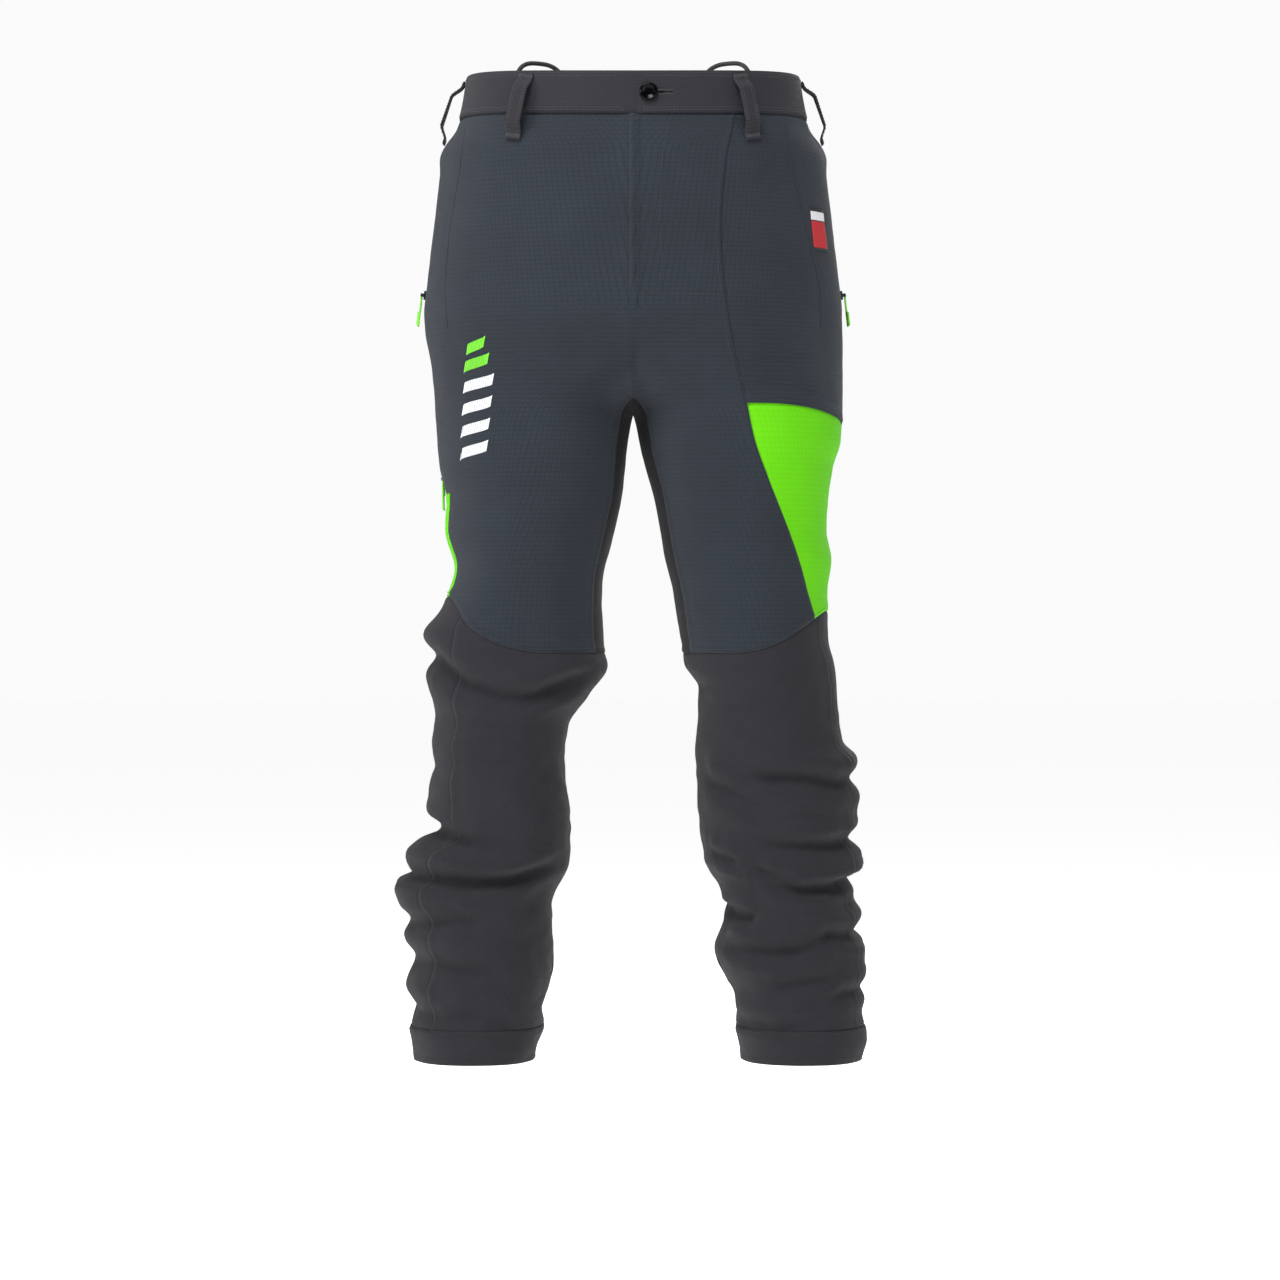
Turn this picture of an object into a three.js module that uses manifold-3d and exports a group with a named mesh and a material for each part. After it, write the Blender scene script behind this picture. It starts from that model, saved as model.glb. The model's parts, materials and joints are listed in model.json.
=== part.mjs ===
// Chainsaw trousers in their worn shape, as a standalone three.js model.
// Millimetres, +Z up. The origin is the middle of the waist opening, level with the waistband's top at the
// sides. The front faces -Y, and the wearer's left side is +X.
// Every panel is a sheet of cloth bent onto one outside shape: a stack of rounded sections for each leg.
import * as THREE from "three";
import { mergeVertices } from "three/addons/utils/BufferGeometryUtils.js";
import Module from "manifold-3d";

const wasm = await Module();
wasm.setup();

// ---------------------------------------------------------------- driving sizes

const LEFT = 1; // the wearer's left leg, on +X
const RIGHT = -1;

// Drops below the origin.
const HIP_DROP = 85;
const FLY_DROP = 228;
const SEAT_DROP = 242; // where the two legs start to part
const CROTCH_DROP = 345;
const KNEE_SEAM_DROP = 590;
const HEM_DROP = 1008;

// Half widths and depths of the body part.
const WAIST_HALF_WIDTH = 171;
const WAIST_FRONT = 108;
const WAIST_BACK = 116;
const HIP_HALF_WIDTH = 198;
const SEAT_HALF_WIDTH = 216;
const SEAT_FRONT = 118;
const SEAT_BACK = 136;
const WAIST_FLARE = 0.37; // how far the waistband's lower edge has opened from the waist to the hips
const LEGS_PART_HALF = 84; // how far the legs still overlap halfway from the seat to the crotch
const ROUNDNESS = 2.3; // exponent of each section: 2 is an ellipse, more is squarer

// Waistband, measured at its middle.
const WAISTBAND_HEIGHT = 43;
const FRONT_DIP = 9; // how much lower than the sides it sits at the centre front
const BACK_RISE = 12;
const WAISTBAND = 3;
const WAISTBAND_PROUD = 1.4;
const UNDERLAP = 32; // how far the right end runs on behind the left one

// Cloth and padding, by thickness, and the spaces between layers.
const SHELL = 1.2;
const PAD = 5;
const LINING = 0.8;
const LAYER_GAP = 1.9;
const LINING_GAP = 8.8;
const PAD_ROW = 64; // the tallest row of the pad's and the lining's facets
const LINING_ROW = 112;
const SEAM_GAP = 0.6; // between two panels that are sewn together
const SEAM_SLACK = 1.1; // the same at a seam that curves sharply
const SEATED = 0.3; // between a piece and what it is sewn or clipped to
const HEM_HEIGHT = 34;
const HEM = 3.2;
const HEM_PROUD = 0.6;

// Seams, as angles round a leg: 0 is the inner side, 90 the front, 180 the outer side and 270 the back.
const GUSSET_FRONT = 30;
const GUSSET_BACK = -38;
const SIDE_SEAM = 196;
const SHIN_SEAM = { [LEFT]: 150, [RIGHT]: 128 };
const KNEE_SEAM_RISE = { [LEFT]: 43, [RIGHT]: 58 };
const LIME_TOP_DROP = 340;
const LIME_BACK_SEAM = 232;
const RIGHT_LIME_TOP_DROP = 428;
const RIGHT_LIME_SEAM = 158;

// Zips.
const ZIP_SLOT = 10;
const HAND_ZIP = { angle: 180, top: 105, bottom: 222 };
const VENT_ZIP = {
  [LEFT]: { angle: 224, top: LIME_TOP_DROP - 132, bottom: LIME_TOP_DROP - 58 },
  [RIGHT]: { angle: 208, top: RIGHT_LIME_TOP_DROP - 124, bottom: RIGHT_LIME_TOP_DROP - 19 },
};
const ZIP_END = 6; // from the slider's travel to the end of the slot
const SLIDER_WIDTH = 8;
const SLIDER_LENGTH = 9;
const SLIDER_PLATE = 2;
const PULL_WIDTH = 5;
const PULL_LENGTH = 34;
const PULL_THICKNESS = 1.8;
const EYE = 2;
const PIN = 0.8;
const HINGE_GAP = 0.35;
const FLY_ZIP_TOP_DROP = 66;
const FLY_TAPE = 15; // the width of one side's tape
const FLY_TEETH = 5.4;
const FLY_ROOM = 6.3; // between the shell and the tapes, where the slider runs
const FLY_PLATE = 1.4; // the slider's own thickness
const FLY_PULL = 0.9;
const BAIL_LENGTH = 5;
const FLY_PULL_LENGTH = 20;
const FLY_TRAVEL_END = 22; // from the fly's end to the slider at its lowest
const FLY_END = 4; // from the fly's end to the ends of the tapes
const TAPE = 0.8;
const TEETH = 1.8;
const SHIELD_START = -24; // the shield's two edges, from the centre
const SHIELD_END = 26;
const FACING_START = 7; // from the centre to the folded facing that the left tape is sewn to
const FACING_END = 34;

// Belt loops and brace loops.
const LOOP_WIDTH = 16.5;
const LOOP_REACH = 24; // below the waistband
const LOOP_LENGTH = WAISTBAND_HEIGHT + LOOP_REACH;
const LOOP_STRAP = 1.8;
const LOOP_FOOT = 6; // sewn down at each end
const LOOP_SLOPE = 8; // from each foot to the raised part
const FOOT_LIFT = 1.8; // of the lower end, because its panel curves away above it
const LOOP_STAND = 8.6; // room behind the strap for a belt
const FRONT_LOOP_X = 107;
const BACK_LOOP_X = 96;
const CORD = 4.8;
const BRACE_LOOP_X = 101;
const BRACE_LOOP_WIDTH = 54;
const BRACE_LOOP_RISE = 24;
const BRACE_LOOP_TAIL = 20;

// Waist button.
const BUTTON_X = 15.5;
const BUTTON_DROP = 31;
const BUTTON_RADIUS = 9.3;
const BUTTON_HEAD = 3.6;
const SHANK_RADIUS = 3.2;
const NAIL_RADIUS = 1.3;
const TACK_RADIUS = 5.5;
const TACK = 1.2;
const BUTTONHOLE = 24;

// ---------------------------------------------------------------- outside shape

// A section: how far the leg's inner and outer faces are from the centre plane, and its front and back.
// A negative inner face means that the section crosses the centre plane, as it does above the crotch.
const lowerLeg = (share) => KNEE_SEAM_DROP + share * (HEM_DROP - KNEE_SEAM_DROP);
const upperLeg = (share) => CROTCH_DROP + share * (KNEE_SEAM_DROP - CROTCH_DROP);
const section = (drop, inner, outer, front, back) => ({ drop, inner, outer, front, back });
const wholeBody = (drop, half, front, back) => section(drop, -half, half, front, back);

// From the hips to the seat the sides run straight, so that a straight zip lies flat on them. The sections
// near its ends keep the curve straight between them.
const HIP_STRETCH = [0, 0.12, 0.88, 1].map((share) => {
  const between = (hip, seat) => THREE.MathUtils.lerp(hip, seat, share);
  const drop = between(HIP_DROP, SEAT_DROP);
  const front = between(SEAT_FRONT - 3, SEAT_FRONT);
  return wholeBody(drop, between(HIP_HALF_WIDTH, SEAT_HALF_WIDTH), front, between(SEAT_BACK - 8, SEAT_BACK));
});

const BODY_SECTIONS = [
  wholeBody(-40, WAIST_HALF_WIDTH - 2, WAIST_FRONT - 2, WAIST_BACK - 2),
  wholeBody(0, WAIST_HALF_WIDTH, WAIST_FRONT, WAIST_BACK),
  wholeBody(
    WAISTBAND_HEIGHT + 10,
    THREE.MathUtils.lerp(WAIST_HALF_WIDTH, HIP_HALF_WIDTH, WAIST_FLARE),
    THREE.MathUtils.lerp(WAIST_FRONT, SEAT_FRONT, WAIST_FLARE),
    THREE.MathUtils.lerp(WAIST_BACK, SEAT_BACK, WAIST_FLARE / 1.5),
  ),
  ...HIP_STRETCH,
  section((SEAT_DROP + CROTCH_DROP) / 2, -LEGS_PART_HALF, SEAT_HALF_WIDTH - 3, SEAT_FRONT - 4, SEAT_BACK - 6),
  section(CROTCH_DROP, 0, SEAT_HALF_WIDTH - 8, SEAT_FRONT - 13, SEAT_BACK - 20),
];

const LEG_SECTIONS = {
  [RIGHT]: [
    ...BODY_SECTIONS,
    section(upperLeg(0.3), 15, 204, 98, 108),
    section(upperLeg(0.55), 25, 195, 92, 98),
    section(upperLeg(0.8), 34, 198, 88, 88),
    section(lowerLeg(0), 38, 212, 84, 82),
    section(lowerLeg(0.2), 62, 212, 74, 80),
    section(lowerLeg(0.42), 71, 214, 66, 86),
    section(lowerLeg(0.58), 80, 240, 61, 92),
    section(lowerLeg(0.72), 87, 236, 60, 90),
    section(lowerLeg(0.86), 93, 232, 62, 86),
    section(lowerLeg(1), 104, 230, 67, 84),
  ],
  [LEFT]: [
    ...BODY_SECTIONS,
    section(upperLeg(0.3), 11, 203, 98, 108),
    section(upperLeg(0.55), 24, 197, 92, 98),
    section(upperLeg(0.8), 36, 198, 88, 88),
    section(lowerLeg(0), 48, 202, 84, 82),
    section(lowerLeg(0.2), 63, 213, 74, 80),
    section(lowerLeg(0.42), 66, 227, 66, 86),
    section(lowerLeg(0.58), 82, 225, 61, 92),
    section(lowerLeg(0.72), 84, 230, 60, 90),
    section(lowerLeg(0.86), 98, 230, 62, 86),
    section(lowerLeg(1), 105, 232, 67, 84),
  ],
};

const { lerp, clamp, smoothstep } = THREE.MathUtils;
const radians = THREE.MathUtils.degToRad;
const degrees = THREE.MathUtils.radToDeg;

// The value of one field at a height, on a smooth curve through the sections that never overshoots them.
function fieldAt(sections, field, z) {
  const drop = clamp(-z, sections[0].drop, sections.at(-1).drop - 1e-6);
  const k = sections.findIndex((s, i) => drop < sections[i + 1]?.drop);
  const steepness = (i) => {
    const [a, b] = [sections[i], sections[i + 1]];
    return a && b ? (b[field] - a[field]) / (b.drop - a.drop) : 0;
  };
  const slope = (i) => {
    const [above, below] = [steepness(i - 1), steepness(i)];
    return above * below > 0 ? (2 * above * below) / (above + below) : 0;
  };
  const [a, b] = [sections[k], sections[k + 1]];
  const length = b.drop - a.drop;
  const t = (drop - a.drop) / length;
  return (
    (2 * t ** 3 - 3 * t ** 2 + 1) * a[field] +
    (t ** 3 - 2 * t ** 2 + t) * length * slope(k) +
    (3 * t ** 2 - 2 * t ** 3) * b[field] +
    (t ** 3 - t ** 2) * length * slope(k + 1)
  );
}

function ovalAt(leg, z) {
  const value = (field) => fieldAt(LEG_SECTIONS[leg], field, z);
  const [inner, outer, front, back] = ["inner", "outer", "front", "back"].map(value);
  return {
    middleX: (outer + inner) / 2,
    halfX: (outer - inner) / 2,
    middleY: (back - front) / 2,
    halfY: (back + front) / 2,
  };
}

const rounded = (value) => Math.sign(value) * Math.abs(value) ** (2 / ROUNDNESS);
const unrounded = (value) => Math.sign(value) * Math.abs(value) ** (ROUNDNESS / 2);

function onSurface(leg, angle, z) {
  const oval = ovalAt(leg, z);
  return new THREE.Vector3(
    leg * (oval.middleX - oval.halfX * rounded(Math.cos(radians(angle)))),
    oval.middleY - oval.halfY * rounded(Math.sin(radians(angle))),
    z,
  );
}

// How fast the surface moves with the angle, in mm a degree.
function mmPerDegree(leg, angle, z) {
  const step = 2;
  return onSurface(leg, angle + step, z).distanceTo(onSurface(leg, angle - step, z)) / (2 * step);
}

function outwardAt(leg, angle, z) {
  const turn = 3;
  const rise = 4;
  const around = onSurface(leg, angle + turn, z).sub(onSurface(leg, angle - turn, z));
  const up = onSurface(leg, angle, z + rise).sub(onSurface(leg, angle, z - rise));
  return around.cross(up).multiplyScalar(leg).normalize();
}

// A point at a distance outside the surface.
const over = (leg, angle, z, out) =>
  onSurface(leg, angle, z).addScaledVector(outwardAt(leg, angle, z), out);

// The angle at which a section meets the centre plane, and 0 where the legs are apart.
function centreAngle(leg, z) {
  const oval = ovalAt(leg, z);
  return degrees(Math.acos(unrounded(clamp(oval.middleX / oval.halfX, 0, 1))));
}

// The height of the crotch seam at an angle, found by halving.
function crotchHeight(leg, angle) {
  let [high, low] = [-SEAT_DROP, -CROTCH_DROP];
  for (let i = 0; i < 24; i++) {
    const middle = (high + low) / 2;
    if (centreAngle(leg, middle) > Math.abs(angle)) high = middle;
    else low = middle;
  }
  return low;
}

// The angle of a point on the front, by its distance from the centre plane.
function frontAngle(leg, x, z) {
  const oval = ovalAt(leg, z);
  return degrees(Math.acos(unrounded(clamp((oval.middleX - x) / oval.halfX, -1, 1))));
}

// ---------------------------------------------------------------- edges and seams

const level = (value) => () => value;

// Straight stretches through [place, value] pairs, in rising order of place.
function through(pairs) {
  return (place) => {
    const k = clamp(pairs.findIndex(([p]) => place <= p), -1, pairs.length);
    if (k === 0) return pairs[0][1];
    if (k < 0) return pairs.at(-1)[1];
    const [[p0, v0], [p1, v1]] = [pairs[k - 1], pairs[k]];
    return lerp(v0, v1, (place - p0) / (p1 - p0));
  };
}

// An edge moved round the leg by some millimetres.
const shifted = (leg, edge, millimetres) => (z) => edge(z) + millimetres / mmPerDegree(leg, edge(z), z);
const after = (leg, edge) => shifted(leg, edge, SEAM_GAP / 2);
const before = (leg, edge) => shifted(leg, edge, -SEAM_GAP / 2);
const lowered = (edge, millimetres = SEAM_GAP / 2) => (angle) => edge(angle) - millimetres;
const raised = (edge, millimetres = SEAM_GAP / 2) => (angle) => edge(angle) + millimetres;

const waistTop = (angle) => {
  const front = Math.sin(radians(angle));
  return front > 0 ? -FRONT_DIP * front ** 2 : BACK_RISE * front ** 2;
};
const waistBottom = (angle) => waistTop(angle) - WAISTBAND_HEIGHT;

const innerFront = (leg) => (z) => Math.max(centreAngle(leg, z), GUSSET_FRONT);
const innerBack = (leg) => (z) => 360 - Math.max(centreAngle(leg, z), -GUSSET_BACK);

// The knee seam is lowest at the front and the inner side, and highest at the outer side.
const kneeShare = (angle) => smoothstep(angle, 75, 165) * (1 - smoothstep(angle, 190, 318));
const kneeSeam = (leg) => (angle) => -KNEE_SEAM_DROP + KNEE_SEAM_RISE[leg] * kneeShare(angle);

// The left thigh's front seam, by its distance from the centre plane: from the belt loop to the lime panel's
// upper corner, and down that panel's front edge.
const leftThighSeamX = through([
  [-560, 181],
  [-525, 174],
  [-469, 156],
  [-376, 121],
  [-LIME_TOP_DROP, 114],
  [-272, 97],
  [-168, 88],
  [-98, 92],
  [-46, 102],
]);
const leftThighSeam = (z) => frontAngle(LEFT, leftThighSeamX(z), z);
const leftLimeTop = through([[100, -LIME_TOP_DROP], [180, -LIME_TOP_DROP - 16]]);
const hemTop = level(-HEM_DROP + HEM_HEIGHT);

// ---------------------------------------------------------------- making pieces

const trousers = new THREE.Group();
trousers.name = "chainsaw_trousers";

const finish = (color, roughness, metalness = 0) => ({ color, roughness, metalness });
const SLATE = finish(0x39414b, 0.85);
const CHARCOAL = finish(0x35323a, 0.9);
const BLACK = finish(0x1c1c1f, 0.9);
const LIME = finish(0x6ad200, 0.8);
const BAND = finish(0x3f3d46, 0.88);
const PADDING = finish(0xd8d2bd, 0.95);
const MESH = finish(0x4a4d50, 0.95);
const METAL = finish(0x17181a, 0.3, 0.9);
const GLOSS = finish(0x0b0b0d, 0.15);
const RED = finish(0xc0202a, 0.8);

const nameOf = { [LEFT]: "left", [RIGHT]: "right" };

function addPiece(name, geometry, look) {
  const piece = new THREE.Mesh(geometry, new THREE.MeshStandardMaterial(look));
  piece.name = name;
  trousers.add(piece);
  return piece;
}

// Turns the diagonals of a box's back face to match its front face, so that a bent wall is equally thick.
function matchDiagonals(box) {
  const back = box.groups.at(-1);
  for (let i = back.start; i < back.start + back.count; i += 6) {
    const [a, b, d, , c] = box.index.array.slice(i, i + 6);
    box.index.array.set([a, b, c, a, c, d], i);
  }
}

// A sheet of cloth on the surface. from and to give its side edges as angles at a height; top and bottom
// give its other edges as heights at an angle. outside is how far out its outer face lies. A levelled sheet
// keeps its two faces at one height, so that its edge is flat.
function sheet({ leg, from, to, top, bottom, outside = 0, thickness = SHELL, across, down, levelled }) {
  const box = new THREE.BoxGeometry(1, 1, 1, across, down, 1);
  const corner = box.getAttribute("position");
  for (let i = 0; i < corner.count; i++) {
    const share = 0.5 + corner.getX(i);
    const fall = 0.5 - corner.getY(i);
    let z = -HEM_DROP / 2;
    let angle = 0;
    for (let pass = 0; pass < 14; pass++) {
      angle = lerp(from(z), to(z), share);
      z = lerp(top(angle), bottom(angle), fall);
    }
    const out = outside - (0.5 - corner.getZ(i)) * thickness;
    const place = over(leg, angle, z, out);
    if (levelled) place.z = z;
    corner.setXYZ(i, ...place);
  }
  matchDiagonals(box);
  if (leg === RIGHT) box.index.array.reverse(); // the right leg is a mirror image, so its faces turn round
  return box;
}

function solidOf(geometry) {
  const bare = new THREE.BufferGeometry();
  bare.setAttribute("position", geometry.getAttribute("position").clone());
  if (geometry.index) bare.setIndex(geometry.index.clone());
  const merged = mergeVertices(bare, 1e-3);
  const solid = new wasm.Mesh({
    numProp: 3,
    vertProperties: new Float32Array(merged.getAttribute("position").array),
    triVerts: new Uint32Array(merged.index.array),
  });
  return new wasm.Manifold(solid);
}

function geometryOf(solid) {
  const mesh = solid.getMesh();
  const geometry = new THREE.BufferGeometry();
  geometry.setAttribute("position", new THREE.BufferAttribute(new Float32Array(mesh.vertProperties), 3));
  geometry.setIndex(new THREE.BufferAttribute(new Uint32Array(mesh.triVerts), 1));
  return geometry;
}

const cut = (geometry, ...cutters) =>
  geometryOf(cutters.reduce((solid, cutter) => solid.subtract(solidOf(cutter)), solidOf(geometry)));
const joined = (...geometries) => geometryOf(geometries.map(solidOf).reduce((a, b) => a.add(b)));

const block = (width, length, height, x, y, z) =>
  new THREE.BoxGeometry(width, length, height).translate(x, y, z);

// ---------------------------------------------------------------- zips let into a panel

const ZIP_CUT = 4; // how far the slot's cutter stands clear of the panel on each side

function zipStrip(leg, zip, half, inset, outside, thickness) {
  const line = level(zip.angle);
  return sheet({
    leg,
    from: shifted(leg, line, -half),
    to: shifted(leg, line, half),
    top: level(-zip.top + ZIP_END - inset),
    bottom: level(-zip.bottom - ZIP_END + inset),
    outside,
    thickness,
    across: 2,
    down: 4,
  });
}

const zipSlot = (leg, zip) => zipStrip(leg, zip, ZIP_SLOT / 2, 0, ZIP_CUT, SHELL + 2 * ZIP_CUT);

// A slider is a plate with two ears and a pin between them. Its own x is across the zip, y along it and
// z outwards, and the pin is the pull's hinge.
const PIN_HEIGHT = SLIDER_PLATE + EYE + SEATED;
function sliderShape() {
  const earX = PULL_WIDTH / 2 + HINGE_GAP + 0.5;
  const ears = [-earX, earX].map((x) => block(1, 3.2, PIN_HEIGHT + 1, x, 0, (PIN_HEIGHT + 1) / 2));
  const pin = new THREE.CylinderGeometry(PIN, PIN, 2 * earX, 12).rotateZ(Math.PI / 2);
  const plate = block(SLIDER_WIDTH, SLIDER_LENGTH, SLIDER_PLATE, 0, 0, SLIDER_PLATE / 2);
  return joined(plate, ...ears, pin.translate(0, 0, PIN_HEIGHT));
}

// The pull hangs from the pin by an eye, and its tab runs down from there.
function pullShape() {
  const outline = new THREE.Shape();
  const half = PULL_THICKNESS / 2;
  const start = Math.asin(half / EYE);
  outline.absarc(0, 0, EYE, -Math.PI / 2 + start, (3 * Math.PI) / 2 - start, false);
  outline.lineTo(-half, -PULL_LENGTH);
  outline.lineTo(half, -PULL_LENGTH);
  outline.closePath();
  const hole = new THREE.Path().absarc(0, 0, PIN + HINGE_GAP, 0, 2 * Math.PI, true);
  outline.holes.push(hole);
  const tab = new THREE.ExtrudeGeometry(outline, { depth: PULL_WIDTH, bevelEnabled: false });
  return tab.translate(0, 0, -PULL_WIDTH / 2).rotateY(-Math.PI / 2);
}

// Where a slider starts, and the way it runs: a straight line that clears the cloth all along.
function zipRun(leg, zip, depth = 0) {
  const at = (z) => over(leg, zip.angle, z, -depth);
  const low = at(-zip.bottom);
  const high = at(-zip.top);
  const up = high.clone().sub(low).normalize();
  const outward = outwardAt(leg, zip.angle, -(zip.top + zip.bottom) / 2);
  outward.addScaledVector(up, -outward.dot(up)).normalize();
  const samples = Array.from({ length: 17 }, (_, i) => at(lerp(-zip.bottom, -zip.top, i / 16)));
  const bulge = Math.max(...samples.map((point) => point.sub(low).dot(outward)));
  const turn = new THREE.Matrix4().makeBasis(up.clone().cross(outward), up, outward);
  const start = low.addScaledVector(outward, bulge + SEATED);
  return { start, turn, length: high.distanceTo(low) };
}

function addZip(leg, zip, kind) {
  const side = nameOf[leg];
  const strip = zipStrip(leg, zip, ZIP_SLOT / 2 - SEATED, SEATED, 0, SHELL);
  addPiece(`${kind}_zip_${side}`, strip, BLACK);
  const run = zipRun(leg, zip);
  const slider = addPiece(`${kind}_slider_${side}`, sliderShape(), METAL);
  slider.position.copy(run.start);
  slider.quaternion.setFromRotationMatrix(run.turn);
  const pull = addPiece(`${kind}_pull_${side}`, pullShape(), LIME);
  pull.position.copy(new THREE.Vector3(0, 0, PIN_HEIGHT).applyMatrix4(run.turn).add(run.start));
  pull.quaternion.copy(slider.quaternion);
}

// ---------------------------------------------------------------- shell panels

const sideSeam = level(SIDE_SEAM);
const panelTop = lowered(waistBottom);

function addUpperPanels(leg) {
  const side = nameOf[leg];
  const limeFront = leg === LEFT ? leftThighSeam : level(RIGHT_LIME_SEAM);
  const limeTop = leg === LEFT ? leftLimeTop : level(-RIGHT_LIME_TOP_DROP);
  const lime = {
    leg,
    from: after(leg, limeFront),
    to: before(leg, level(LIME_BACK_SEAM)),
    top: lowered(limeTop),
    bottom: raised(kneeSeam(leg)),
    across: leg === LEFT ? 9 : 6,
    down: 9,
  };
  addPiece(`lime_side_panel_${side}`, sheet(lime), LIME);
  const limeHole = sheet({
    ...lime,
    from: before(leg, limeFront),
    to: after(leg, level(LIME_BACK_SEAM)),
    top: raised(limeTop),
    bottom: lowered(kneeSeam(leg), 2),
    outside: ZIP_CUT,
    thickness: SHELL + 2 * ZIP_CUT,
  });

  const front = {
    leg,
    from: after(leg, innerFront(leg)),
    top: panelTop,
    bottom: raised(kneeSeam(leg), SEAM_GAP),
    across: 8,
    down: 14,
  };
  if (leg === LEFT) {
    addPiece("thigh_panel_left", sheet({ ...front, to: shifted(leg, leftThighSeam, -SEAM_SLACK) }), SLATE);
    const hip = sheet({
      leg,
      from: after(leg, leftThighSeam),
      to: before(leg, sideSeam),
      top: panelTop,
      bottom: raised(leftLimeTop),
      across: 7,
      down: 10,
      });
    addPiece("hip_panel_left", cut(hip, zipSlot(leg, HAND_ZIP)), SLATE);
  } else {
    const thigh = sheet({ ...front, to: before(leg, sideSeam), across: 11 });
    addPiece("thigh_panel_right", cut(thigh, limeHole, zipSlot(leg, HAND_ZIP)), SLATE);
  }

  const seat = sheet({
    leg,
    from: after(leg, sideSeam),
    to: before(leg, innerBack(leg)),
    top: panelTop,
    bottom: raised(kneeSeam(leg), SEAM_GAP),
    across: 8,
    down: 13,
  });
  addPiece(`seat_panel_${side}`, cut(seat, limeHole, zipSlot(leg, VENT_ZIP[leg])), SLATE);

  const gusset = sheet({
    leg,
    from: after(leg, level(GUSSET_BACK)),
    to: before(leg, level(GUSSET_FRONT)),
    top: (angle) => crotchHeight(leg, angle) - SEAM_GAP,
    bottom: level(-KNEE_SEAM_DROP + SEAM_GAP / 2),
    across: 6,
    down: 10,
  });
  addPiece(`inner_thigh_panel_${side}`, gusset, BLACK);
}

function addLowerPanels(leg) {
  const side = nameOf[leg];
  const shinSeam = level(SHIN_SEAM[leg]);
  const shin = sheet({
    leg,
    from: after(leg, level(0)),
    to: before(leg, shinSeam),
    top: lowered(kneeSeam(leg)),
    bottom: raised(hemTop),
    across: 8,
    down: 10,
  });
  addPiece(`shin_panel_${side}`, shin, CHARCOAL);
  const calf = sheet({
    leg,
    from: after(leg, shinSeam),
    to: before(leg, level(360)),
    top: lowered(kneeSeam(leg)),
    bottom: raised(hemTop),
    across: 10,
    down: 10,
  });
  addPiece(`calf_panel_${side}`, calf, CHARCOAL);
  const hem = sheet({
    leg,
    from: after(leg, level(0)),
    to: before(leg, level(360)),
    top: lowered(hemTop),
    bottom: level(-HEM_DROP),
    outside: HEM_PROUD,
    thickness: HEM,
    across: 24,
    down: 2,
    levelled: true,
  });
  addPiece(`hem_band_${side}`, hem, CHARCOAL);
}

// ---------------------------------------------------------------- hidden layers

const BAG_FRONT = 128; // the hand pocket bag's edges, as angles
const BAG_BACK = 192;
const BAG_SEWN = 8; // above the zip
const BAG_HANG = 22; // below the zip
const PAD_INSET = 12; // from the inner seam
const PAD_OUTER = 168; // the pad's outer edge, as an angle
const PAD_TOP = 170; // the drop of its upper edge at the outer side
const PAD_END = 30; // above the hem band
const LINING_START = 4; // below the waistband
const LINING_END = 8; // above the hem
const BAG_DEPTH = SHELL + LAYER_GAP;
const PAD_DEPTH = BAG_DEPTH + SHELL + LAYER_GAP;
const LINING_DEPTH = PAD_DEPTH + PAD + LINING_GAP;

function addLayers(leg) {
  const side = nameOf[leg];
  const handBag = {
    leg,
    from: level(BAG_FRONT),
    to: level(BAG_BACK),
    top: level(-HAND_ZIP.top + BAG_SEWN),
    bottom: level(-HAND_ZIP.bottom - BAG_HANG),
    outside: -BAG_DEPTH,
    across: 7,
    down: 6,
  };
  addPiece(`hand_pocket_bag_${side}`, sheet(handBag), MESH);
  const pad = {
    leg,
    from: shifted(leg, innerFront(leg), PAD_INSET),
    to: level(PAD_OUTER),
    top: through([[70, -CROTCH_DROP + 25], [95, -268], [125, -200], [PAD_OUTER, -PAD_TOP]]),
    bottom: level(-HEM_DROP + HEM_HEIGHT + PAD_END),
    outside: -PAD_DEPTH,
    thickness: PAD,
    across: 11,
    down: Math.ceil((HEM_DROP - PAD_TOP) / PAD_ROW),
  };
  addPiece(`protective_pad_${side}`, sheet(pad), PADDING);
  const lining = {
    leg,
    from: (z) => Math.max(centreAngle(leg, z), 0) + 1,
    to: (z) => 359 - Math.max(centreAngle(leg, z), 0),
    top: lowered(waistBottom, LINING_START),
    bottom: level(-HEM_DROP + LINING_END),
    outside: -LINING_DEPTH,
    thickness: LINING,
    across: 24,
    down: Math.ceil(HEM_DROP / LINING_ROW),
  };
  addPiece(`lining_${side}`, sheet(lining), MESH);
}

// ---------------------------------------------------------------- waistband, loops and button

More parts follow.
